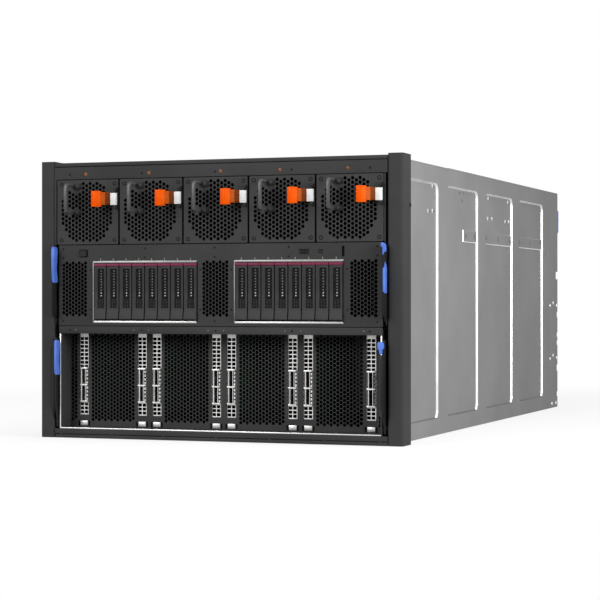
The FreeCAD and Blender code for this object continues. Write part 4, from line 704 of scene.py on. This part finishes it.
# the drive's steel body, with a strip of painted shade along its top
block(work, (-half + 0.8, face + 7.6, bottom + 1), (half - 0.8, back, top - 1), 0.6, 2)
block(work, (-half + 1.6, face + 14, top - 1.3), (half - 1.6, back - 4, top - 0.6), 0.3, 4)
drive_mesh = shape("drive", work, carrier_grey, maroon, bright_steel, pipe, painted_shade, dull_steel, slot_shade)
for count, x in enumerate(drive_middles, 1):
    drive = f"drive_{count:02d}"
    fit(f"{drive}_carrier", drive_mesh, f"{drive}_sled", (drive,), x)

# Board of the compute tray: green laminate with two finned heat sinks, four banks of memory
# and a backplane that the drives plug into. It is seen only when the tray is drawn out.

# Solder-masked laminate: green with a faint pattern of buried copper.
laminate = surface("green_laminate", "#0c331c", "#144527", 9, 2.5, 0.03, 0.4, IOR=1.55)
# Extruded aluminium: pale grey with drawn lines.
aluminium = surface("extruded_aluminium", "#a9abad", "#bcbec0", 25, 2, 0.03, 0.38, (1, 0.2, 1), Metallic=1.0)
board_low, board_high = span("compute_board")
base, board_top = board_low[2], board_high[2]
board_face = base + 2.4
sink_start, sink_end, sink_half, fin_count, fin_span = sleeve_back + 110, sleeve_back + 220, 42, 28, 82.8
memory_start, memory_end, memory_pitch, chip_pitch = sleeve_back + 96, sleeve_back + 234, 7.6, 14
work = bmesh.new()
block(work, (board_low[0], sleeve_back + 14, base), (board_high[0], board_high[1], board_face), 0.2)
block(work, (-bay_outer, sleeve_back + 2, base + 0.2), (bay_outer, sleeve_back + 5, bay_top - 0.3), 0.2)
for x in drive_middles:
    block(work, (x - 3, sleeve_back - 1, 178), (x + 3, sleeve_back + 2.2, 206), 0.3, 2)
for middle_x in (-100, 100):
    block(work, (middle_x - sink_half, sink_start, board_face),
          (middle_x + sink_half, sink_end, base + 8), 0.4, 1)
    for fin in range(fin_count):
        x = middle_x - fin_span / 2 + fin * fin_span / (fin_count - 1)
        block(work, (x - 0.35, sink_start + 0.5, base + 7), (x + 0.35, sink_end - 0.5, board_top - 1.4), 0, 1)
    for row in (-62, 62):
        for slot in range(4):
            x = middle_x + row + (slot - 1.5) * memory_pitch
            block(work, (x - 2.6, memory_start, board_face), (x + 2.6, memory_end, base + 7), 0.3, 2)
            block(work, (x - 0.7, memory_start + 2, base + 6), (x + 0.7, memory_end - 2, base + 36), 0.2)
            for chip in range(9):
                y = memory_start + 7 + chip * chip_pitch
                block(work, (x - 1.5, y, base + 14), (x + 1.5, y + 9.4, base + 30), 0.2, 2)
for x in range(-180, 181, 40):
    block(work, (x - 9, sleeve_back + 262, board_face), (x + 9, sleeve_back + 282, base + 11), 0.5, 2)
piece("compute_board_assembly", work, (laminate, aluminium, black_nylon), "compute_tray", "board_green",
      "compute_board")

# Pull levers: each tray has one at each side, a black nylon blade with blue moulded grips
# fixed to it. They turn forward on a pin to push the tray out of its plugs.

# ABS in the blue that marks a touch point, with a light moulded grain.
blue = surface("blue_abs", "#4a6cc0", "#5478cc", 20, 2, 0.03, 0.45, sheen=0.25)
blade_front = -457.6
lever_pin = ((0, 216.6), (4.6, 216.6), (5, 217), (5, 221), (4.4, 221.5), (0, 221.5))
for tray in ("compute", "gpu"):
    for side, hand in ((-1, "left"), (1, "right")):
        low, high = span(f"{tray}_lever_{hand}")
        pivot_y, pivot_z, top, nose = front + 7, low[2] + 7.4, high[2], low[1]
        work = bmesh.new()
        heel = [(blade_front, pivot_z - 6), (-456, pivot_z - 7.2), (-446, pivot_z - 7.2), (-444, pivot_z - 6),
                (-443.8, pivot_z + 7), (-455, pivot_z + 24), (-455, top - 2), (-457, top - 0.6)]
        if tray == "compute":
            toe = [(nose + 1.6, top - 0.6), (nose + 0.2, top - 2), (nose + 0.2, pivot_z + 7),
                   (nose + 1.6, pivot_z + 4), (blade_front, pivot_z + 1)]
            prism(work, heel + toe, "x", *mirrored(side, 219.5, 221.2), 0.4)
        else:
            reach = nose - 0.4 if side > 0 else -463.4
            toe = [(-463, top - 0.6), (-463.4, top - 2), (-463.4, 107), (reach, 103), (reach, pivot_z + 26),
                   (blade_front, pivot_z + 2)]
            prism(work, heel + toe, "x", *mirrored(side, 217.0, 219.4), 0.4)
        if tray == "compute" and side < 0:
            # the left grip narrows to a waist and ends in a rounded toe
            grip = [(-221.5, -3), (-221.2, -30), (-220.6, -41), (-219.6, -44.6), (-217.4, -45.2),
                    (-216.6, -43), (-216.9, -38), (-217.7, -31), (-217.9, -24), (-217.2, -14), (-216.6, -6),
                    (-217.2, -1), (-218.6, 0.8), (-220.6, 0.4)]
            prism(work, [(x, top + z) for x, z in grip], "y", nose, -459.2, 0.7, 1)
        elif tray == "compute":
            # the right grip is a hook at the top and a bar below it
            hook = [(216.8, -3.4), (216.8, 1), (218, 1.9), (220, 1.7), (221.6, -1.6), (221.6, -7),
                    (220.6, -12.6), (219, -12.6), (218.9, -3.6)]
            prism(work, [(x, top + z) for x, z in hook], "y", nose - 0.2, -460.6, 0.5, 1)
            bar_line = [(nose + 3, -20.5), (nose + 0.8, -26), (nose, -29), (nose, -57), (nose + 1.4, -59),
                        (-460, -59), (-459, -57), (-459, -27), (-462, -24)]
            prism(work, [(y, top + z) for y, z in bar_line], "x", 219.3, 221.7, 0.6, 1)
        elif side < 0:
            # the left grip is a long bow
            grip = [(-219.5, top - 6), (-219.5, 88), (-218.9, 82), (-217.8, 79.8), (-215.8, 79.6),
                    (-215.2, 81.6), (-215.3, 88), (-215.9, 94), (-215.9, 100), (-215.2, 108),
                    (-215.2, top - 6), (-215.8, top - 3.8), (-218.6, top - 3.4)]
            prism(work, grip, "y", -465, -456.6, 0.8, 1)
        else:
            # the right grip is a short knob with a tail, and a flange lies before the edge of the pan
            grip = [(212.8, 116.2), (214.6, 115), (215.2, 110.4), (216.4, 109.6), (217.4, 110.8),
                    (217.6, 115.2), (219.4, 116.8), (219.4, 122.8), (217.8, 124.6), (213.8, 124.8),
                    (212.8, 123.4)]
            prism(work, grip, "y", nose - 1, -459.4, 0.8, 1)
            flange = [(213.9, pivot_z + 17), (217.3, pivot_z + 14), (217.3, 109), (213.9, 109)]
            prism(work, flange, "y", nose + 1.4, -459, 0.5, 3)
        turned(work, [(radius, side * x) for radius, x in lever_pin], (0, pivot_y, pivot_z), "x", 20, 2)
        lever = f"{tray}_lever_{hand}"
        piece(f"{lever}_grip", work, (black_nylon, blue, black_screw, black_coat), f"{tray}_{hand}_arm",
              "lever_blue", lever)

# Card tray: a steel pan with a bare front edge and a black bulkhead set back from it. The
# bulkhead has a honeycomb between the cards and a folded bar along its top with screws.
dress("gpu_pan", black_coat, 0.4)
card_pitch = 20.32
card_middles = [step * card_pitch for step in (-9.5, -5.5, -4.5, -0.5, 0.5, 4.5, 5.5, 9.5)]
plate_front, plate_gauge, plate_half = front + 26, 1.5, 213.2
bar_low, bar_middle, bar_high = 132.5, 137.1, span("card_bulkhead")[1][2]
pan_low, right_edge_low = span("gpu_pan")[0][2], 34
sheet_pitch, sheet_flats, sheet_middle, sheet_rows, sheet_columns = 5.0, 4.25, 76.1, 22, 14


def honeycomb(start, columns, middle, rows, pitch, flats):
    """Rows of hexagons from a first column, every second column half a step higher."""
    return [hexagon(start + column * pitch * math.sqrt(3) / 2,
                    middle + (row - (rows - 1) / 2 + (0.25 if column % 2 else -0.25)) * pitch, flats)
            for column in range(columns) for row in range(rows)]


windows = [rounded(x - 6.3, x + 6.3, 28.3, 132.6, 0.6, 2) for x in card_middles]
windows += [rounded(x + side * 7.0 - 1.3, x + side * 7.0 + 1.3, 13.9, 20.4, 0.5, 2)
            for x in card_middles for side in (-1, 1)]
field_half = (sheet_columns - 1) / 2 * sheet_pitch * math.sqrt(3) / 2
fields = [(step * card_pitch - field_half, sheet_columns) for step in (-7.5, -2.5, 2.5, 7.5)]
for start, columns in fields + [(-209.2, 2), (204.9, 2)]:
    windows += honeycomb(start, columns, sheet_middle, sheet_rows, sheet_pitch, sheet_flats)
work = bmesh.new()
plate_line = rounded(-plate_half, plate_half, pan_low + 1.7, bar_low + 1.4, 0.5, 1)
plate(work, plate_line, windows, plate_front, plate_gauge)
for side in (-1, 1):
    left, right = mirrored(side, plate_half - 1.1, plate_half)
    block(work, (left, front + 2, pan_low + 1.8), (right, plate_front + 0.3, bar_low + 1.3), 0.2)
block(work, (-plate_half, front + 1.4, bar_low + 1.7), (plate_half, plate_front + 1.4, bar_low + 3.1))
prism(work, rounded(-215.6, 215.6, bar_low, bar_high, 1, 2), "y", front, front + 1.6, 0.3)
for x in (-200, -100.3, 0, 100.3, 200):
    screw(work, x, bar_middle, 1.1)
for x in (-192, -111.5, -91, -10.3, 10.3, 91, 111.5, 192):
    turned(work, ((1, 0.2), (0.9, -0.2), (0.6, -0.35), (0, -0.35)), (x, front, bar_middle), "y", 12, 2)
piece("card_bulkhead_sheet", work, (black_coat, black_screw, dull_steel), "gpu_tray", "front_paint",
      "card_bulkhead")
# the sheared front edge of the pan is bare and bright; at the right it starts above the lever's pin
edge_front, edge_back = front + 0.9, front + 2.4
work = bmesh.new()
for side, low in ((-1, pan_low + 0.1), (1, right_edge_low)):
    left, right = mirrored(side, 213.4, 214.9)
    block(work, (left, edge_front, low), (right, edge_back, bar_low - 0.4), 0.2)
block(work, (-213.5, edge_front, pan_low + 0.1), (213.5, edge_back, pan_low + 1.5), 0.2)
piece("card_pan_edge", work, (bare_zinc_and_highlight,), "gpu_tray", "zinc_sheet")

# Network cards: a plated steel bracket with two columns of vents, a tab hooked over the
# bulkhead, and a dark green board behind that carries a chip, a sink and connectors.

# Nickel-plated steel: nearly white, with a soft sheen.
nickel = surface("nickel_plated_steel", "#bcbcba", "#d4d4d2", 12, 1.6, 0.02, 0.34, Metallic=0.7)
cage_low, cage_high = span("port_cages")
cage_front, cage_back = cage_low[1], cage_high[1]
cage_bottom, cage_top, cage_half = cage_low[2], cage_high[2], 5.4
cage_middle = (cage_bottom + cage_top) / 2
bracket_front, bracket_gauge, vent_half = plate_front + plate_gauge + 0.1, 0.9, 1.95
work = bmesh.new()
for x in card_middles:
    vents = [rounded(x - cage_half, x + cage_half, cage_bottom - 0.1, cage_top + 0.1, 0.4, 1)]
    for z in [125.5 - 5.07 * step for step in range(8)] + [41.6, 36.6, 31.6]:
        for left, right in ((x - 5.7, x - 0.9), (x + 0.1, x + 4.9)):
            vents.append(rounded(left, right, z - vent_half, z + vent_half, 0.4, 2))
    bracket_line = rounded(x - 8.6, x + 8.6, 27, bar_low - 0.2, 0.8, 2)
    plate(work, bracket_line, vents, bracket_front, bracket_gauge)
    block(work, (x - 4.6, plate_front - 0.9, 14.4), (x + 5.4, plate_front - 0.05, 20.5), 0.2)
    block(work, (x + cage_half, -429.4, 32.3), (x + cage_half + 1.5, -269.7, 126.3), 0.15, 1)
    for y, roof in ((-360, 70), (-325, 88), (-295, 70)):
        block(work, (x + 1.4, y, 48), (x + cage_half + 0.1, y + 22, roof), 0.4, 2)
    block(work, (x + 0.6, -344, 94), (x + cage_half + 0.1, -300, 122), 0.4, 3)
piece("network_cards", work, (nickel, laminate, black_nylon, aluminium), "gpu_tray", "bright_steel",
      "card_brackets")

# Port cages: two stacked mouths in a folded nickel shell, with a bright bar below, between and
# above them and a row of sprung fingers with sloping noses at each side.

# Painted shade: the left fingers are the right ones' nickel given a dull, darker grey, for the shade on their
# side.
shaded_nickel = surface("tinned_spring_bronze", "#484848", "#565656", 6, 1.5, 0.02, 0.5, sheen=0.1)
finger_front, finger_back, finger_pitch, finger_tall = cage_front + 0.4, cage_front + 4.4, 4.75, 2.9
work = bmesh.new()
for x in card_middles:
    mouths = [rounded(x - 2.4, x + 2.3, low, high, 0.4, 2)
              for low, high in ((cage_bottom + 1.7, cage_middle - 0.9), (cage_middle + 0.9, cage_top - 1.7))]
    shell_line = rounded(x - 3.3, x + 2.9, cage_bottom + 0.6, cage_top - 0.6, 0.5, 2)
    plate(work, shell_line, mouths, cage_front, 5)
    # the body behind the mouths is painted shade
    block(work, (x - cage_half + 0.2, cage_front + 4, cage_bottom + 0.2),
          (x + cage_half - 0.2, cage_back, cage_top - 0.2), 0.5, 1)
    for z in (cage_bottom, cage_middle - 0.9, cage_top - 1.8):
        block(work, (x - cage_half, cage_front + 0.3, z), (x + cage_half, cage_front + 4.6, z + 1.8), 0.4)
    right = [(x + 4.0, finger_front), (x + 5.3, finger_front + 0.8), (x + 5.3, finger_back),
             (x + 4.0, finger_back)]
    left = [(x - 6.2, finger_front + 0.8), (x - 3.5, finger_front), (x - 3.5, finger_back),
            (x - 6.0, finger_back)]
    # the right fingers in nickel, the left ones in its painted-shade copy
    for low in (cage_bottom + 2.4, cage_middle + 1.6):
        for finger in range(4):
            z = low + finger_pitch * finger
            prism(work, right, "z", z, z + finger_tall)
            prism(work, left, "z", z, z + finger_tall, 0, 2)
piece("network_port_cages", work, (nickel, painted_shade, shaded_nickel), "gpu_tray", "bright_steel", "port_cages")

# Inner parts: the midplane board that both trays plug into and the accelerator board behind
# it with eight tall heat sinks. They are seen only through openings.
dress("midplane", laminate, 0.2)
module_low, module_high = span("gpu_modules")
module_floor, module_top = module_low[2], module_high[2]
module_wide, module_long, module_pitch, row_pitch, fin_count = 93.4, 106, 101.45, 116, 24
work = bmesh.new()
block(work, module_low, (module_high[0], module_high[1], module_floor + 4))
for column in range(4):
    for row in range(2):
        left, start = -202.9 + column * module_pitch, 1.0 + row * row_pitch
        right, end = left + module_wide, start + module_long
        block(work, (left, start, module_floor + 4), (right, end, module_floor + 24), 0.8, 2)
        for fin in range(fin_count):
            x = left + 1 + fin * (module_wide - 2) / (fin_count - 1)
            block(work, (x - 0.4, start + 1, module_floor + 23), (x + 0.4, end - 1, module_top), 0, 1)
        block(work, (left, start + 40, module_top - 1.2), (right, start + 66, module_top), 0.3, 1)
piece("accelerator_board", work, (laminate, aluminium, black_nylon), "chassis", "sink_metal", "gpu_modules")

# Power supplies: eight plated steel boxes that slide in from the rear. Each has a grille of
# small holes, an inlet with three pins, a black wire handle and a green release tab.

# Zinc-plated steel of the supplies: brighter than the case, with a slight cloudiness.
plated = surface("zinc_plated_steel", "#b4b6b6", "#c8caca", 25, 4, 0.03, 0.4, Metallic=0.9)
# ABS in the green that marks a part to be drawn out under power.
release_green = surface("green_abs", "#2f8a3c", "#3b9c49", 12, 2, 0.03, 0.42, IOR=1.54)
supply_low, supply_high = span("power_supplies")
supply_pitch, supply_half, rear = 53.73, 25.35, supply_high[1]
floor_z, roof_z = supply_low[2] + 0.1, supply_high[2] - 0.1
grille_pitch, grille_row, grille_low, grille_radius = 4.4, 3.81, 41, 1.55
work = bmesh.new()
grille = [circle(-supply_half + 6 + (column + row % 2 / 2) * grille_pitch, grille_low + row * grille_row,
                 grille_radius, 8)
          for row in range(9) for column in range(9)]
inlet = rounded(-13.4, 13.4, 9.7, 31.5, 2.4, 3)
face_line = rounded(-supply_half + 0.1, supply_half - 0.1, floor_z, roof_z, 1.4, 3)
plate(work, face_line, grille + [inlet], rear - 1.4, 1.2)
block(work, (-supply_half, supply_low[1], floor_z), (supply_half, rear - 16, roof_z), 0.8)
for left, low, right, high in ((-supply_half, floor_z, -supply_half + 1, roof_z),
                               (supply_half - 1, floor_z, supply_half, roof_z),
                               (-supply_half, floor_z, supply_half, floor_z + 1),
                               (-supply_half, roof_z - 1, supply_half, roof_z)):
    block(work, (left, rear - 18, low), (right, rear - 0.8, high), 0.2)
plate(work, inlet, [rounded(-12, 12, 11, 30.2, 1.8, 3)], rear - 15.4, 15, 1)
block(work, (-13, rear - 17, 10), (13, rear - 15.2, 31.2), 0.3, 1)
for x, z in ((-6.5, 17), (6.5, 17), (0, 24)):
    block(work, (x - 1.1, rear - 16, z - 2.6), (x + 1.1, rear - 3, z + 2.6), 0.4, 2)
block(work, (15.6, rear - 3, 12), (22, rear + 2.4, 34), 0.8, 3)
for z in (16, 20, 24, 28):
    block(work, (16.4, rear + 2, z), (21.2, rear + 2.8, z + 1.4), 0.3, 3)
handle = [(-1, 12), (7, 12), (9.6, 14.6), (9.6, 34), (7, 36.6), (-1, 36.6), (-1, 33.6), (6, 33.6), (6.6, 33),
          (6.6, 15.6), (6, 15), (-1, 15)]
prism(work, [(rear + y, z) for y, z in handle], "x", -22, -17.6, 0.8, 1)
supply_mesh = shape("power_supply", work, plated, black_nylon, bright_steel, release_green)
for count in range(8):
    fit(f"power_supply_{count + 1}", supply_mesh, "chassis",
        ("power_supplies",) if count == 0 else (), (count - 3.5) * supply_pitch)

# Exhaust fans: ten square frames in two rows, moulded in black nylon, each with a wheel of
# seven swept blades and a chromed wire guard screwed over its mouth.

# Chromed wire of the guards: bright and smooth.
chrome = surface("chromed_wire", "#d6d6d6", "#e6e6e6", 10, 2, 0.01, 0.2, Metallic=1.0)
exhaust_low, exhaust_high = span("rear_fans")
inner, outer = exhaust_low[1], exhaust_high[1]
depth = outer - inner
exhaust_pitch, exhaust_row, exhaust_half, flange_gauge, blade_count = 85.96, 86, 41.4, 6, 7
guard_reach, wire = 51.6, 0.75
work = bmesh.new()
flange = rounded(-exhaust_half, exhaust_half, -exhaust_half, exhaust_half, 5)
for start in (outer - 6.4, inner + 0.2):
    plate(work, flange, [circle(0, 0, 38.6, 48)], start, flange_gauge)
turned(work, ((39.4, 1), (39.4, depth - 1), (38.5, depth - 1), (38.5, 1), (39.4, 1)), (0, inner, 0), "y", 48)
hub = ((0, 6), (15.4, 6), (17, 8), (17, depth - 12), (15.6, depth - 10.4), (0, depth - 10.4))
turned(work, hub, (0, inner, 0), "y", 28)
# each blade is a grid from hub to tip, bowed across its width and less steep towards the tip
for blade in range(blade_count):
    rows = []
    for step in range(6):
        radius = 16.5 + step * 4.2
        sweep = blade * 2 * math.pi / blade_count + step * 0.075
        twist = math.radians(52 - step * 3.6)
        row = []
        for part in range(6):
            along = (part / 5 - 0.5) * (20 + step * 1.6)
            bow = 1.6 * (1 - (part / 2.5 - 1) ** 2)
            around = sweep + (along * math.cos(twist) + bow * math.sin(twist)) / radius
            y = inner + depth * 0.5 + along * math.sin(twist) - bow * math.cos(twist)
            row.append(work.verts.new((radius * math.cos(around), y, radius * math.sin(around))))
        rows.append(row)
    for first, second in zip(rows, rows[1:]):
        for part in range(5):
            work.faces.new((first[part], first[part + 1], second[part + 1], second[part]))
# the guard's rings and spokes, and a screw at the end of each spoke
for radius in (10, 17.5, 25, 32.5, 39.6):
    section = circle(radius, 0, wire, 6)
    turned(work, section + section[:1], (0, outer + 0.4, 0), "y", 40, 1)
for degrees in (45, 135, 225, 315):
    spoke = swung([(9.6, -0.8), (52.5, -0.8), (52.5, 0.8), (9.6, 0.8)], degrees)
    prism(work, spoke, "y", outer - 0.4, outer + 0.9, 0.3, 1)
    x, z = swung([(guard_reach, 0)], degrees)[0]
    turned(work, ((3.4, 0), (3.2, 1.2), (1.8, 1.7), (0, 1.5)), (x, outer + 0.6, z), "y", 14, 2)
exhaust_mesh = shape("exhaust_fan", work, black_nylon, chrome, black_screw)
for row in range(2):
    for column in range(5):
        fit(f"exhaust_fan_{row * 5 + column + 1}", exhaust_mesh, "chassis",
            ("rear_fans",) if row + column == 0 else (), (column - 2) * exhaust_pitch,
            exhaust_low[2] + 41.5 + row * exhaust_row)

# Rear panel: a folded sheet between the walls with a band of vents and a row of sockets, and
# a small blue lever at each end of it that turns on a steel pin.
dress("rear_panel", zinc, 0.4)
rear_face, rear_edge, pin_y, pin_z = 457.0, wall_high[1], 467, 281.6
band_middle, band_rows, band_pitch, band_flats = 318.5, 6, 5.6, 4.4
rear_pin = ((0, 211.2), (3.6, 211.2), (3.9, 211.6), (3.9, 217), (3.4, 217.6), (0, 217.6))
work = bmesh.new()
vents = []
for start, columns in ((-197, 44), (36, 38)):
    vents += honeycomb(start, columns, band_middle, band_rows, band_pitch, band_flats)
plate(work, rounded(-206.4, 206.4, 272.2, 346.6, 1, 2), vents, rear_face + 0.1, 0.8)
plate(work, rounded(-200, 202, 300, 336, 1, 2), [], rear_face, 0.05, 1)
# each socket: a steel shell, painted shade inside its mouth, and a black tongue
for x in (-180, -158, -136, -96, -74, 60, 82, 120, 142, 164):
    wide = 8 if x < 0 else 6.8
    mouth = rounded(x - wide + 1.4, x + wide - 1.4, 279.4, 292.4, 0.6, 2)
    plate(work, rounded(x - wide, x + wide, 278, 294, 0.8, 2), [mouth], rear_face + 0.6, 4, 2)
    block(work, (x - wide + 1.2, rear_face + 0.7, 279), (x + wide - 1.2, rear_face + 1.5, 293), 0.2, 1)
    block(work, (x - wide + 2.6, rear_face + 1.2, 284.6), (x + wide - 2.6, rear_face + 3.6, 286.2), 0.3, 3)
for x in (-202, -110, 0, 110, 202):
    for z in (275.4, 343.6):
        turned(work, ((2.6, 0), (2.5, 0.6), (1.4, 1), (0, 0.7)), (x, rear_face + 0.9, z), "y", 14, 2)
for side, hand in ((-1, "left"), (1, "right")):
    turned(work, [(radius, side * x) for radius, x in rear_pin], (0, pin_y, pin_z), "x", 16, 2)
    dress(f"rear_lever_{hand}", blue, 0.8)
    grip = bmesh.new()
    line = [(rear_edge + 1, 287), (rear_edge + 4, 284.6), (rear_edge + 6.4, 288), (rear_edge + 7, 318),
            (rear_edge + 5, 322), (rear_edge + 1, 320)]
    prism(grip, line, "x", *mirrored(side, 216.4, 223.8), 0.8)
    piece(f"rear_lever_{hand}_grip", grip, (blue,), f"rear_{hand}_arm", "lever_blue")
piece("rear_sockets", work, (zinc, painted_shade, bright_steel, black_nylon), "chassis", "zinc_sheet")

# Studio: a white floor that keeps a soft shadow and fades out to the even white surround,
# three large soft lamps, and a camera where the photograph was taken from.
floor_mesh = bpy.data.meshes.new("studio_floor")
floor_mesh.from_pydata([(-30, -30, 0), (30, -30, 0), (30, 30, 0), (-30, 30, 0)], [], [(0, 1, 2, 3)])
floor = bpy.data.objects.new("studio_floor", floor_mesh)
floor.location.z = -0.0005
bpy.context.scene.collection.objects.link(floor)
# White paper: matt near the object, so that its shadow shows, and clear beyond a metre or so.
paper = bpy.data.materials.new("white_paper")
paper.use_nodes = True
tree = paper.node_tree
tree.nodes.clear()
plain_white = (1, 1, 1, 1)
path = add(tree, "LightPath").outputs
seen = add(tree, "Math", path["Is Camera Ray"], path["Is Glossy Ray"], operation="MAXIMUM", use_clamp=True)
matt = add(tree, "BsdfDiffuse", Color=linear("#f2f2f2"))
glow = add(tree, "Emission", Color=plain_white, Strength=seen.outputs["Value"])
whole = add(tree, "MixShader", matt.outputs["BSDF"], glow.outputs["Emission"], Fac=0.72)
reach = add(tree, "VectorMath", add(tree, "TexCoord").outputs["Object"], operation="LENGTH")
fade = add(tree, "MapRange", Value=reach.outputs["Value"], From_Min=0.7, From_Max=1.3)
clear_paper = add(tree, "BsdfTransparent", Color=plain_white)
faded = add(tree, "MixShader", whole.outputs["Shader"], clear_paper.outputs["BSDF"],
            Fac=fade.outputs["Result"])
add(tree, "OutputMaterial", Surface=faded.outputs["Shader"])
floor_mesh.materials.append(paper)

# The surround is white where it is seen, mirrored or looked through, and dimmer as a light.
world = bpy.data.worlds.new("studio")
bpy.context.scene.world = world
world.use_nodes = True
tree = world.node_tree
tree.nodes.clear()
path = add(tree, "LightPath").outputs
direct = add(tree, "Math", path["Is Camera Ray"], path["Is Glossy Ray"], operation="MAXIMUM")
shown = add(tree, "Math", direct.outputs["Value"], path["Is Transmission Ray"], operation="MAXIMUM")
ambient = add(tree, "Background", Color=plain_white, Strength=0.28)
backdrop = add(tree, "Background", Color=plain_white, Strength=1.0)
blend = add(tree, "MixShader", ambient.outputs["Background"], backdrop.outputs["Background"],
            Fac=shown.outputs["Value"])
add(tree, "OutputWorld", Surface=blend.outputs["Shader"])

for name, place, aim, size, power in (("front_softbox", (-1.5, -2.9, 1.8), (0, -0.3, 0.15), 2.2, 95),
                                      ("top_softbox", (0.6, 0.2, 2.8), (0, 0, 0.1), 2.4, 46),
                                      ("side_softbox", (1.3, -0.84, 0.45), (0.22, -0.3, 0.2), 0.8, 17)):
    lamp = bpy.data.lights.new(name, "AREA")
    lamp.shape = "DISK"
    lamp.size = size
    lamp.energy = power
    holder = bpy.data.objects.new(name, lamp)
    holder.location = place
    holder.rotation_euler = (Vector(aim) - Vector(place)).to_track_quat("-Z", "Y").to_euler()
    bpy.context.scene.collection.objects.link(holder)

camera = bpy.data.cameras.new("studio_camera")
camera.lens = 117
camera.sensor_width = 36
viewer = bpy.data.objects.new("studio_camera", camera)
viewer.location = (0.9207, -2.6855, 0.1749)
viewer.rotation_euler = (math.radians(90), 0, math.radians(19.985))
bpy.context.scene.collection.objects.link(viewer)
bpy.context.scene.camera = viewer
bpy.context.scene.view_settings.view_transform = "Standard"
